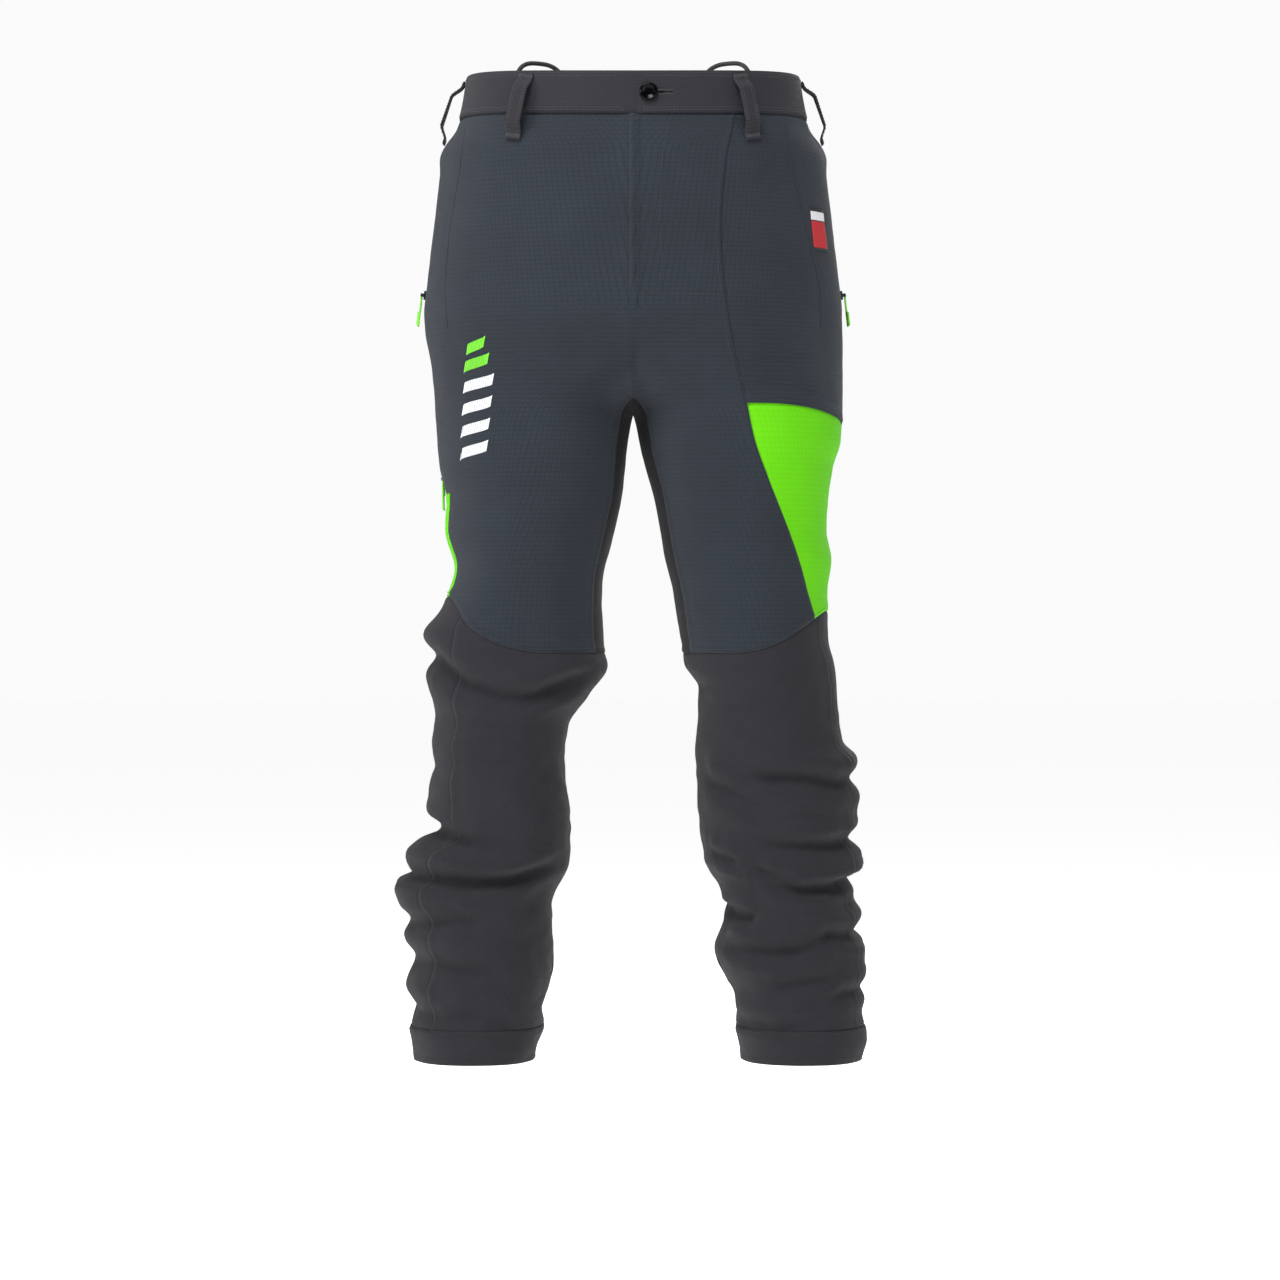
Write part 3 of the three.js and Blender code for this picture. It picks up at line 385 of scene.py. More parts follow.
def draw_to_zip(leg, kind):
    angle, top, bottom = ZIPS[kind, leg]
    strip = np.array([v.co for v in bpy.data.objects[f"{kind}_zip_{SIDE[leg]}"].data.vertices]) / MM
    column = int(round(angle / ANGLE_STEP))
    grid = leg_cloth[leg]
    line = grid[:, column]
    outward = normals_of(grid)[:, column]
    spread = np.abs(np.arange(len(angle_grid)) - column) * ANGLE_STEP
    gaps = []
    for i, z in enumerate(row_grid):
        near = strip[np.argsort(np.abs(strip[:, 2] - np.clip(z, -bottom, -top)))[:6]]
        gaps.append(((near - line[i]) * outward[i])[:, :2].sum(1).max())
    padded = np.pad(gaps, ZIP_SMOOTH, mode="edge")
    window = np.hanning(2 * ZIP_SMOOTH + 3)[1:-1]
    gaps = np.convolve(padded, window / window.sum(), mode="valid")
    for i, z in enumerate(row_grid):
        reach = ease(z, -bottom - 60, -bottom - 8) * (1 - ease(z, -top + 8, -top + 60))
        weight = np.exp(-((spread * around(leg, z) / ZIP_REACH) ** 2)) * reach
        grid[i] += outward[i] * (gaps[i] * weight)[:, None]


for kind, leg in ZIPS:
    draw_to_zip(leg, kind)
cloth_normals = {leg: normals_of(leg_cloth[leg]) for leg in (LEFT, RIGHT)}


def softened(grid, passes):
    for _ in range(passes):
        grid = (np.roll(grid, 1, 1) + 2 * grid + np.roll(grid, -1, 1)) / 4
        grid[1:-1] = (grid[:-2] + 2 * grid[1:-1] + grid[2:]) / 4
    return grid


# The layers inside hang more smoothly than the shell.
inner_cloth = {leg: softened(leg_cloth[leg].copy(), 90) for leg in (LEFT, RIGHT)}
inner_normals = {leg: normals_of(inner_cloth[leg]) for leg in (LEFT, RIGHT)}


def sample(grid, angle, z):
    """Cubic reading of a leg's grid at any angles and heights."""
    column = np.mod(angle, 360) / ANGLE_STEP
    row = np.clip((GRID_TOP - z) / ROW_STEP, 1, len(row_grid) - 2.001)
    c0, r0 = np.floor(column).astype(int), np.floor(row).astype(int)
    fc, fr = (column - c0)[..., None], (row - r0)[..., None]

    def weights(t):
        return (
            -0.5 * t + t * t - 0.5 * t**3,
            1 - 2.5 * t * t + 1.5 * t**3,
            0.5 * t + 2 * t * t - 1.5 * t**3,
            -0.5 * t * t + 0.5 * t**3,
        )

    total = 0
    for i, wr in enumerate(weights(fr)):
        for j, wc in enumerate(weights(fc)):
            rows = np.clip(r0 + i - 1, 0, len(row_grid) - 1)
            total = total + wr * wc * grid[rows, (c0 + j - 1) % len(angle_grid)]
    return total


def on_cloth(leg, angle, z, out=0.0, inner=False):
    """A point in mm on the folded cloth, or out mm over it."""
    angle, z = np.broadcast_arrays(np.asarray(angle, float), np.asarray(z, float))
    place = sample((inner_cloth if inner else leg_cloth)[leg], angle, z)
    normal = sample((inner_normals if inner else cloth_normals)[leg], angle, z)
    normal /= np.linalg.norm(normal, axis=-1, keepdims=True)
    return place + normal * np.asarray(out)[..., None], normal


def waist_top(angle):
    front = np.sin(np.radians(angle))
    return np.where(front > 0, -FRONT_DIP * front**2, BACK_RISE * front**2)


def waist_bottom(angle):
    return waist_top(angle) - WAISTBAND_HEIGHT


def knee_seam(leg):
    def at(angle):
        share = ease(angle, 75, 165) * (1 - ease(angle, 190, 318))
        return -KNEE_SEAM_DROP + KNEE_SEAM_RISE[leg] * share

    return at


def level(value):
    return lambda place: value + 0.0 * np.asarray(place, float)


def shifted(leg, edge, millimetres):
    return lambda z: edge(z) + millimetres / around(leg, z)


def raised(edge, millimetres):
    return lambda angle: edge(angle) + millimetres


def inner_front(leg):
    return lambda z: np.maximum(centre_angle(leg, z), GUSSET_FRONT)


def inner_back(leg):
    return lambda z: 360 - np.maximum(centre_angle(leg, z), -GUSSET_BACK)


left_thigh_x = curve_through(
    (-565, 184), (-525, 175), (-469, 157), (-420, 137), (-376, 121), (-LIME_TOP_DROP, 113), (-272, 97),
    (-208, 89), (-168, 87), (-98, 92), (-46, 102),
)


def left_thigh_seam(z):
    return front_angle(LEFT, left_thigh_x(z), z)


def left_lime_top(angle):
    return -LIME_TOP_DROP - 16 * ease(angle, 100, 190)


def make_piece(bm, name, body="trousers"):
    """Ends a mesh as a smooth piece that rides on a body."""
    for face in bm.faces:
        face.smooth = True
    mesh = bpy.data.meshes.new(name)
    bm.to_mesh(mesh)
    bm.free()
    piece = bpy.data.objects.new(name, mesh)
    bpy.context.collection.objects.link(piece)
    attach(piece, body)
    return piece


def thicken(piece, thickness):
    wall = piece.modifiers.new("thickness", "SOLIDIFY")
    wall.thickness = thickness * MM
    wall.offset = -1
    wall.use_even_offset = False


def dress(piece, material, slot, *nodes):
    piece.data.materials.append(material)
    if nodes:
        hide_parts(*nodes)
    return piece


# A panel's height is measured at one angle, and its width between its ends at another.
TALL_AT = 150.0
WIDE_AT = 120.0
LAY_PASSES = 25


def lay_panel(
    name, leg, left, right, top, bottom, out=None, step=3.0, thickness=SHELL, keep=None, inner=False, cut=True
):
    """Cuts a panel between four edges and lays it on the cloth, with its UV map in metres."""
    z_mid = np.linspace(-60, -HEM_DROP, 40)
    tall = float(np.abs(top(TALL_AT) - bottom(TALL_AT)))
    z_in = z_mid[(z_mid < float(top(WIDE_AT))) & (z_mid > float(bottom(WIDE_AT)))]
    z_in = z_in if len(z_in) else np.array([float(top(WIDE_AT) + bottom(WIDE_AT)) / 2])
    wide = float(np.max((right(z_in) - left(z_in)) * around(leg, z_in)))
    nx, ny = max(4, int(wide / step)), max(4, int(tall / step))
    bm = bmesh.new()
    bmesh.ops.create_grid(bm, x_segments=nx, y_segments=ny, size=0.5, calc_uvs=True)
    if leg == RIGHT:
        bmesh.ops.reverse_faces(bm, faces=bm.faces)
    bm.verts.ensure_lookup_table()
    flat = np.array([v.co for v in bm.verts])
    share, fall = flat[:, 0] + 0.5, 0.5 - flat[:, 1]
    z = np.full(len(share), float(top(TALL_AT) + bottom(TALL_AT)) / 2)
    for _ in range(LAY_PASSES):
        angle = left(z) + (right(z) - left(z)) * share
        z = top(angle) + (bottom(angle) - top(angle)) * fall
    push = np.zeros(len(share)) if out is None else out(angle, z, share * wide, fall * tall, wide, tall)
    place, _ = on_cloth(leg, angle, z, push, inner)
    for vert, co in zip(bm.verts, place * MM):
        vert.co = co
    uv_layer = bm.loops.layers.uv.verify()
    cloth_u = (angle * around(leg, z)) * MM * leg
    for face in bm.faces:
        for loop in face.loops:
            i = loop.vert.index
            loop[uv_layer].uv = (cloth_u[i], z[i] * MM)
    if keep is not None:
        stays = keep(angle, z)
        gone = [v for v in bm.verts if not stays[v.index]]
        bmesh.ops.delete(bm, geom=gone, context="VERTS")
    panel = make_piece(bm, name)
    thicken(panel, thickness)
    if cut:
        declare_cut(wide, tall)
    return panel


def declare_cut(wide, tall):
    """Converts a sheet's cut size, the laid cloth's own before its thickness, to metres; the result is not
    kept or used.
    """
    wide, tall = wide * MM, tall * MM


def seam_edges(**kinds):
    """The way a panel's edges lie: over (a folded edge on top), under (tucked below) or plain."""

    def out(angle, z, x, y, wide, tall):
        edges = {"left": x, "right": wide - x, "top": y, "bottom": tall - y}
        push = np.zeros(len(x))
        for side, kind in kinds.items():
            away = edges[side]
            if kind == "over":
                push += 0.75 * (1 - ease(away, 7, 11)) - 0.55 * (1 - ease(away, 0, 2.2))
            elif kind == "under":
                push -= 1.5 * (1 - ease(away, 5, 9))
            elif kind == "dip":
                push -= 0.9 * (1 - ease(away, 0, 3))
        return push

    return out


UNDER = 6.0


class Look:
    """A procedural material. Its nodes take plain values, or outputs of other nodes."""

    def __init__(self, name):
        self.material = bpy.data.materials.new(name)
        self.material.use_nodes = True
        self.tree = self.material.node_tree
        self.shader = self.tree.nodes["Principled BSDF"]

    def feed(self, socket, value):
        if isinstance(value, bpy.types.NodeSocket):
            self.tree.links.new(value, socket)
        else:
            socket.default_value = value

    def node(self, kind, values=(), **settings):
        made = self.tree.nodes.new("ShaderNode" + kind)
        for key, value in settings.items():
            setattr(made, key, value)
        for key, value in dict(values).items():
            self.feed(made.inputs[key], value)
        return made

    def maths(self, operation, *values):
        return self.node("Math", enumerate(values), operation=operation).outputs[0]

    def place(self):
        return self.node("TexCoord").outputs["Object"]

    def colour(self, share, dark, light, low=0.0, high=1.0):
        """Colours from dark to light as the share goes from low to high."""
        ramp = self.node("ValToRGB", {"Fac": share})
        for stop, position, tint in zip(ramp.color_ramp.elements, (low, high), (dark, light)):
            stop.position = position
            stop.color = (*tint, 1)
        self.feed(self.shader.inputs["Base Color"], ramp.outputs["Color"])

    def relief(self, height, strength, distance):
        bump = self.node("Bump", {"Height": height, "Strength": strength, "Distance": distance})
        self.feed(self.shader.inputs["Normal"], bump.outputs["Normal"])


def scaled(colour, share):
    return [c * share for c in colour]


WOOL_SCALE = 900
TONE_SCALE = 14
SLUB_SCALE = (260, 1300, 1)
NET_HEIGHT = 1.2
NET_SHADE = 0.34
CLOTH_RELIEF = 0.0004


def cloth_material(
    name, colour, light=1.25, pitch=0.9, rib=0.0, grid=None, slub=0.0, depth=0.35, sheen=0.25
):
    """Woven cloth: pitch is the thread spacing in mm, grid the spacing of stronger ripstop threads."""
    look = Look(name)
    uv = look.node("UVMap").outputs["UV"]
    u, v = look.node("SeparateXYZ", {0: uv}).outputs[:2]

    def wave(axis, spacing):
        return look.maths("SINE", look.maths("MULTIPLY", axis, 2 * math.pi / (spacing * MM)))

    def plus(base, extra, share):
        return look.maths("ADD", base, look.maths("MULTIPLY", extra, share))

    def grain(vector, scale, detail):
        return look.node("TexNoise", {"Vector": vector, "Scale": scale, "Detail": detail}).outputs["Fac"]

    height = look.maths("MULTIPLY", look.maths("MULTIPLY", wave(u, pitch), wave(v, pitch)), 0.5)
    if rib:
        height = plus(height, wave(v, rib), 0.6)
    wool = grain(uv, WOOL_SCALE, 3)
    height = look.maths("ADD", height, wool)
    shade = plus(look.maths("MULTIPLY", wool, 0.5), grain(look.place(), TONE_SCALE, 4), 0.35)
    if slub:
        streak = grain(look.node("Mapping", {"Vector": uv, "Scale": SLUB_SCALE}).outputs["Vector"], 1, 2)
        height = plus(height, streak, 2.2 * slub)
        shade = plus(shade, streak, 0.5 * slub)
    if grid:
        swings = [look.maths("ABSOLUTE", wave(axis, 2 * grid)) for axis in (u, v)]
        lines = [look.maths("POWER", look.maths("SUBTRACT", 1.0, swing), 5.0) for swing in swings]
        net = look.maths("MAXIMUM", *lines)
        height = plus(height, net, NET_HEIGHT)
        shade = plus(shade, net, -NET_SHADE)
    look.colour(shade, scaled(colour, 1 / light), scaled(colour, light), 0.15, 0.75)
    look.relief(height, depth, CLOTH_RELIEF)
    look.shader.inputs["Roughness"].default_value = 0.8
    look.shader.inputs["Specular IOR Level"].default_value = 0.16
    look.shader.inputs["Sheen Weight"].default_value = sheen
    look.shader.inputs["Sheen Roughness"].default_value = 0.5
    return look.material


SLATE = (0.0185, 0.0235, 0.032)
slate_ripstop = cloth_material("slate_ripstop", SLATE, light=1.5, grid=4.6, pitch=0.8, depth=0.6, sheen=0.07)


def outside_lime_right(angle, z):
    between = (angle > RIGHT_LIME_SEAM + 2.5) & (angle < LIME_BACK_SEAM - 2.5)
    return ~(between & (z < -RIGHT_LIME_TOP_DROP - 5))


ZIP_SLOT = 4.0


def beside_zip(kind, leg):
    angle_of, top, bottom = ZIPS[kind, leg]

    def at(angle, z):
        near = np.abs(angle - angle_of) * around(leg, z) < ZIP_SLOT
        return ~(near & (z < -top + ZIP_SLOT) & (z > -bottom - ZIP_SLOT))

    return at


CENTRE_LAP = 2.5
thigh_right = lay_panel(
    "thigh_right",
    RIGHT,
    shifted(RIGHT, inner_front(RIGHT), -CENTRE_LAP),
    shifted(RIGHT, level(SIDE_SEAM), 0.5),
    raised(waist_bottom, 5),
    raised(knee_seam(RIGHT), -0.5),
    seam_edges(left="over", right="over", bottom="over", top="under"),
    keep=lambda a, z: outside_lime_right(a, z) & beside_zip("hand_pocket", RIGHT)(a, z),
)
dress(thigh_right, slate_ripstop, "slate_ripstop", "thigh_panel_right")

FLY_DROP = 228
FLY_LAP = 4.0


def fly_edge(z):
    lap = FLY_LAP * ease(z, -FLY_DROP - 6, -FLY_DROP + 2)
    lapped = front_angle(LEFT, -lap, z)
    return np.where(z > -FLY_DROP - 8, lapped, shifted(LEFT, inner_front(LEFT), -CENTRE_LAP)(z))


def left_front_out(angle, z, x, y, wide, tall):
    lapped = (1 - ease(x, 3, 12)) * ease(z, -FLY_DROP - 14, -FLY_DROP + 4)
    edges = seam_edges(left="over", right="over", bottom="over", top="under")
    return 1.25 * lapped + edges(angle, z, x, y, wide, tall)


thigh_left = lay_panel(
    "thigh_left",
    LEFT,
    fly_edge,
    shifted(LEFT, left_thigh_seam, 0.5),
    raised(waist_bottom, 5),
    raised(knee_seam(LEFT), -0.5),
    left_front_out,
)
dress(thigh_left, slate_ripstop, "slate_ripstop", "thigh_panel_left")

hip_left = lay_panel(
    "hip_left",
    LEFT,
    shifted(LEFT, left_thigh_seam, -UNDER),
    shifted(LEFT, level(SIDE_SEAM), 0.5),
    raised(waist_bottom, 5),
    raised(left_lime_top, -0.5),
    seam_edges(left="under", right="over", bottom="over", top="under"),
    keep=beside_zip("hand_pocket", LEFT),
)
dress(hip_left, slate_ripstop, "slate_ripstop", "hip_panel_left")

# ------------------------------------------------------------------ lime side panels
# Bright lime cloth runs down the outside of each thigh to the knee seam. The left panel's front and top run
# under the slate's folded edges, and its back and foot are folded over; the right panel's front, back and
# top are folded over its neighbours.

LIME = (0.11, 0.52, 0.001)


def left_lime_head(angle):
    """The left panel runs up under the hip and seat, except at its back corner."""
    return left_lime_top(angle) + UNDER * (1 - ease(angle, 226, 229))


lime_cloth = cloth_material("lime_cloth", LIME, light=1.12, pitch=0.8, grid=5.2, depth=0.4, sheen=0.03)
lime_front = {LEFT: shifted(LEFT, left_thigh_seam, -UNDER), RIGHT: level(RIGHT_LIME_SEAM)}
lime_head = {LEFT: left_lime_head, RIGHT: level(-RIGHT_LIME_TOP_DROP)}
lime_edges = {
    LEFT: seam_edges(left="under", right="over", top="under", bottom="over"),
    RIGHT: seam_edges(left="over", right="over", top="over"),
}
for leg in (LEFT, RIGHT):
    lime = lay_panel(
        f"lime_side_{SIDE[leg]}",
        leg,
        lime_front[leg],
        level(LIME_BACK_SEAM),
        lime_head[leg],
        raised(knee_seam(leg), -0.5),
        lime_edges[leg],
    )
    dress(lime, lime_cloth, "lime_cloth", f"lime_side_panel_{SIDE[leg]}")

# ------------------------------------------------------------------ seat and inner thigh panels
# The seat is a softer slate stretch cloth, and a black stretch gusset runs inside each thigh to the knee.
# Both are cut in a left and a right piece, and the gusset's long edges are tucked under its neighbours.

SEAT = (0.018, 0.0225, 0.030)
GUSSET = (0.006, 0.006, 0.0075)
seat_cloth = cloth_material("slate_stretch", SEAT, light=1.5, pitch=1.1, rib=2.2, depth=0.6, sheen=0.08)
gusset_cloth = cloth_material("black_stretch", GUSSET, pitch=1.0, rib=1.6, sheen=0.05)


def crotch_height(leg):
    heights = np.linspace(-200, -CROTCH_DROP, 400)
    angles = centre_angle(leg, heights)

    def at(angle):
        return np.interp(-np.abs(angle), -angles, heights)

    return at


def clear_of_lime(leg):
    """Keeps the seat off the vent zip and the lime, which it laps over on the left and under on the right."""
    lime_top = raised(left_lime_top, -1.5) if leg == LEFT else level(-RIGHT_LIME_TOP_DROP - 5)

    def at(angle, z):
        over_lime = (angle < LIME_BACK_SEAM - 2.5) & (z < lime_top(angle))
        return ~over_lime & beside_zip("vent", leg)(angle, z)

    return at


for leg in (LEFT, RIGHT):
    seat = lay_panel(
        f"seat_{SIDE[leg]}",
        leg,
        shifted(leg, level(SIDE_SEAM), -UNDER),
        shifted(leg, inner_back(leg), CENTRE_LAP),
        raised(waist_bottom, 5),
        raised(knee_seam(leg), -0.5),
        seam_edges(left="under", right="dip", bottom="over", top="under"),
        keep=clear_of_lime(leg),
    )
    dress(seat, seat_cloth, "slate_stretch", f"seat_panel_{SIDE[leg]}")
    gusset = lay_panel(
        f"inner_thigh_{SIDE[leg]}",
        leg,
        shifted(leg, level(GUSSET_BACK), -UNDER),
        shifted(leg, level(GUSSET_FRONT), UNDER),
        raised(crotch_height(leg), CENTRE_LAP),
        level(-KNEE_SEAM_DROP - 0.5),
        seam_edges(left="under", right="under", top="dip", bottom="over"),
    )
    dress(gusset, gusset_cloth, "black_stretch", f"inner_thigh_panel_{SIDE[leg]}")

# ------------------------------------------------------------------ shins, calves and hems
# Below the knee the cloth is a tough charcoal weave, sewn in a front and a back, with a deep turned-up hem.
# The front's outer edge is folded over the back, and the hem is about three layers thick.

HEM_HEIGHT = 34
SHIN_SEAM = {LEFT: 150, RIGHT: 128}
CHARCOAL = (0.0105, 0.0098, 0.0122)
charcoal_cloth = cloth_material(
    "charcoal_cloth", CHARCOAL, light=1.9, pitch=1.5, slub=1.1, depth=0.9, sheen=0.06
)
hem_top = level(-HEM_DROP + HEM_HEIGHT)
for leg in (LEFT, RIGHT):
    shin = lay_panel(
        f"shin_{SIDE[leg]}",
        leg,
        level(0.2),
        shifted(leg, level(SHIN_SEAM[leg]), 0.5),
        raised(knee_seam(leg), UNDER),
        raised(hem_top, -UNDER),
        seam_edges(left="dip", right="over", top="under", bottom="under"),
    )
    dress(shin, charcoal_cloth, "charcoal_cloth", f"shin_panel_{SIDE[leg]}")
    calf = lay_panel(
        f"calf_{SIDE[leg]}",
        leg,
        shifted(leg, level(SHIN_SEAM[leg]), -UNDER),
        level(359.8),
        raised(knee_seam(leg), UNDER),
        raised(hem_top, -UNDER),
        seam_edges(left="under", right="dip", top="under", bottom="under"),
    )
    dress(calf, charcoal_cloth, "charcoal_cloth", f"calf_panel_{SIDE[leg]}")
    hem = lay_panel(
        f"hem_{SIDE[leg]}",
        leg,
        level(0.2),
        level(359.8),
        hem_top,
        level(-HEM_DROP),
        seam_edges(top="over", left="dip", right="dip"),
        thickness=3.0,
    )
    dress(hem, charcoal_cloth, "charcoal_cloth", f"hem_band_{SIDE[leg]}")

# ------------------------------------------------------------------ waistband
# A firm charcoal band in three pieces; its left front end laps over the right one at the centre.
# It is sewn over the tops of the panels, and its left end has a slit for the button.

BAND = (0.0195, 0.0185, 0.0235)
band_cloth = cloth_material("band_cloth", BAND, light=1.4, pitch=1.0, rib=1.4, depth=0.5, sheen=0.07)
WAISTBAND = 3.0
WAISTBAND_PROUD = 1.4
UNDERLAP = 32


def proud(amount, **kinds):
    edges = seam_edges(**kinds)
    return lambda *place: amount + edges(*place)


BUTTON_X = 15.5
BUTTON_DROP = 31
BUTTONHOLE = 24


def outside_buttonhole(angle, z):
    x = worn_shape(LEFT, angle, z)[:, 0]
    slit = (x > BUTTON_X) & (x < BUTTON_X + BUTTONHOLE) & (np.abs(z + BUTTON_DROP) < 0.8)
    shank = np.hypot(x - BUTTON_X, z + BUTTON_DROP) < 3.8
    return ~(slit | shank)


band_left = lay_panel(
    "band_left",
    LEFT,
    level(90.0),
    level(SIDE_SEAM),
    waist_top,
    waist_bottom,
    proud(WAISTBAND_PROUD, left="dip", top="dip", bottom="dip"),
    thickness=WAISTBAND,
    step=1.1,
    keep=outside_buttonhole,
)
dress(band_left, band_cloth, "band_cloth", "waistband_front_left")


def right_band_out(angle, z, x, y, wide, tall):
    under = 1 - ease(angle, 86.3, 89.6)
    return WAISTBAND_PROUD - 3.5 * under + seam_edges(top="dip", bottom="dip")(angle, z, x, y, wide, tall)


band_right = lay_panel(
    "band_right",
    RIGHT,
    lambda z: front_angle(RIGHT, -UNDERLAP, z),
    level(SIDE_SEAM),
    waist_top,
    waist_bottom,
    right_band_out,
    thickness=1.6,
)
dress(band_right, band_cloth, "band_cloth", "waistband_front_right")
band_back = lay_panel(
    "band_back",
    LEFT,
    level(SIDE_SEAM + 0.2),
    level(540 - SIDE_SEAM - 0.2),
    waist_top,
    waist_bottom,
    proud(WAISTBAND_PROUD, left="dip", right="dip", top="dip", bottom="dip"),
    thickness=WAISTBAND,
)
dress(band_back, band_cloth, "band_cloth", "waistband_back")

# ------------------------------------------------------------------ stitching
# Every seam is sewn twice and topstitched in thread close to the cloth's own colour. Each stitch is a small
# grain of thread that lies on the cloth.

STITCH = 2.3
STITCH_PITCH = 3.3
THREAD = 0.55


def thread_material(name, colour):
    look = Look(name)
    twist = look.node("TexWave", {"Vector": look.place(), "Scale": 900, "Distortion": 1.5})
    look.colour(twist.outputs["Fac"], scaled(colour, 0.7), scaled(colour, 1.3))
    look.shader.inputs["Roughness"].default_value = 0.6
    look.shader.inputs["Sheen Weight"].default_value = 0.2
    return look.material


def add_grain(bm, place, way, up, size):
    """A small grain of thread or metal at a place in metres; its size in mm runs along way, across and up."""
    turn = Matrix((way, up.cross(way).normalized(), up)).transposed().to_4x4()
    at = Matrix.Translation(place) @ turn @ Matrix.Diagonal((*[length * MM for length in size], 1))
    bmesh.ops.create_icosphere(bm, subdivisions=1, radius=0.5, matrix=at)


def upright(up, way):
    """The part of a direction that is square to way."""
    return (up - way * way.dot(up)).normalized()


def path_points(leg, angles, heights, out, pitch):
    """Evenly spaced points along a line over the cloth, with the cloth's outward direction."""
    fine_angle = np.interp(np.linspace(0, 1, 400), np.linspace(0, 1, len(angles)), angles)
    fine_z = np.interp(np.linspace(0, 1, 400), np.linspace(0, 1, len(heights)), heights)
    place, normal = on_cloth(leg, fine_angle, fine_z, out)
    gone = np.concatenate([[0], np.cumsum(np.linalg.norm(np.diff(place, axis=0), axis=1))])
    marks = np.arange(pitch / 2, gone[-1], pitch)
    along = np.stack([np.interp(marks, gone, place[:, k]) for k in range(3)], -1)
    ahead = np.stack([np.interp(marks + 0.5, gone, place[:, k]) for k in range(3)], -1)
    up = np.stack([np.interp(marks, gone, normal[:, k]) for k in range(3)], -1)
    return along, ahead - along, up


def sew(name, rows, material, slot, length=STITCH, pitch=STITCH_PITCH):
    """Stitches along rows of (leg, angles, heights, out)."""
    bm = bmesh.new()
    for leg, angles, heights, out in rows:
        for place, way, up in zip(*path_points(leg, angles, heights, out, pitch)):
            way = Vector(way).normalized()
            up = upright(Vector(up), way)
            add_grain(bm, Vector(place) * MM, way, up, (length, THREAD, THREAD * 0.8))
    return dress(make_piece(bm, name), material, slot)


dark_thread = thread_material("dark_thread", (0.004, 0.0045, 0.0055))
grey_thread = thread_material("grey_thread", (0.030, 0.030, 0.034))


def along_height(leg, edge, top, bottom, out, offset=0.0):
    """A row that follows an edge given by its angle at each height."""
    heights = np.linspace(top, bottom, 60)
    return leg, shifted(leg, edge, offset)(heights), heights, out


def along_turn(leg, edge, start, end, out, offset=0.0):
    """A row that follows an edge given by its height at each angle."""
    angles = np.linspace(start, end, 60)
    return leg, angles, edge(angles) + offset, out


def by_distance(leg, points, out):
    """A row through (distance from the centre plane, drop) points on the front."""
    xs, drops = np.array(points, float).T
    drop = np.linspace(drops[0], drops[-1], 60)
    across = curve_through(*zip(drops, xs))(drop)
    return leg, front_angle(leg, across, -drop), -drop, out


PROUD_SEAM = 0.95
POCKET_SEAM = {
    RIGHT: [(171, 56), (175, 98), (186, 161), (191, 219), (188, 262)],
    LEFT: [(154, 56), (162, 110), (175, 161), (189, 219), (190, 262)],
}
FLY_CURVE = [(36, 56), (30, 89), (27.5, 125), (27, 161), (29, 200), (27, 217), (20, 227), (8, 230.5)]
slate_rows = []
for leg in (LEFT, RIGHT):
    slate_rows.append(by_distance(leg, POCKET_SEAM[leg], 0.15))
    slate_rows.append(by_distance(leg, [(x + 5.5, drop) for x, drop in POCKET_SEAM[leg]], 0.15))
    slate_rows.append(along_turn(leg, knee_seam(leg), 42, 188 if leg == RIGHT else 160, PROUD_SEAM, 3.2))
slate_rows.append(by_distance(LEFT, FLY_CURVE[:6], 0.15))
slate_rows.append(along_height(LEFT, fly_edge, -56, -FLY_DROP + 4, 1.9, 4.0))
slate_rows.append(along_height(LEFT, left_thigh_seam, -100, -LIME_TOP_DROP, PROUD_SEAM, -3.0))
slate_rows.append(along_turn(LEFT, left_lime_top, 103, 192, PROUD_SEAM, 3.5))
slate_rows.append(along_height(LEFT, left_thigh_seam, -LIME_TOP_DROP, -552, PROUD_SEAM, -3.0))
fly_hook = np.array(FLY_CURVE[5:])
hook_z = -fly_hook[:, 1]
hook_angle = np.array([float(front_angle(LEFT, x, z)) for x, z in zip(fly_hook[:, 0], hook_z)])
slate_rows.append((LEFT, hook_angle, hook_z, 0.15))
sew("stitches_front", slate_rows, dark_thread, "slate_ripstop")
band_rows = []
for edge, offset in ((waist_top, -3.0), (waist_top, -5.6), (waist_bottom, 3.0), (waist_bottom, 5.6)):
    for leg, start, end in ((LEFT, 92, 194), (RIGHT, 194, 92), (LEFT, 198, 342)):
        band_rows.append(along_turn(leg, edge, start, end, WAISTBAND_PROUD, offset))
sew("stitches_waistband", band_rows, grey_thread, "band_cloth")
lower_rows = []
for leg in (LEFT, RIGHT):
    lower_rows.append(along_turn(leg, hem_top, 3, 357, PROUD_SEAM, -3.2))
    lower_rows.append(along_height(leg, level(SHIN_SEAM[leg]), -600, -965, PROUD_SEAM, -3.0))
    lower_rows.append(along_turn(leg, level(-HEM_DROP), 3, 357, 0.2, 5.0))
sew("stitches_lower", lower_rows, dark_thread, "charcoal_cloth")
seat_rows = []
for leg in (LEFT, RIGHT):
    seat_rows.append(along_height(leg, level(SIDE_SEAM), -60, -330, PROUD_SEAM, -3.0))
    seat_rows.append(along_height(leg, inner_back(leg), -60, -340, 0.2, -4.0))
    seat_rows.append(along_height(leg, inner_back(leg), -60, -340, 0.2, -7.0))
    seat_rows.append(along_turn(leg, knee_seam(leg), 234, 318, PROUD_SEAM, 3.2))
sew("stitches_back", seat_rows, dark_thread, "slate_stretch")

# ------------------------------------------------------------------ padding, lining and pocket bags
# Inside each front hangs a pad of several long-fibre layers that stops a saw chain, quilted so that the
# layers stay in place. A mesh lining covers it, and the pocket bags are the same mesh.

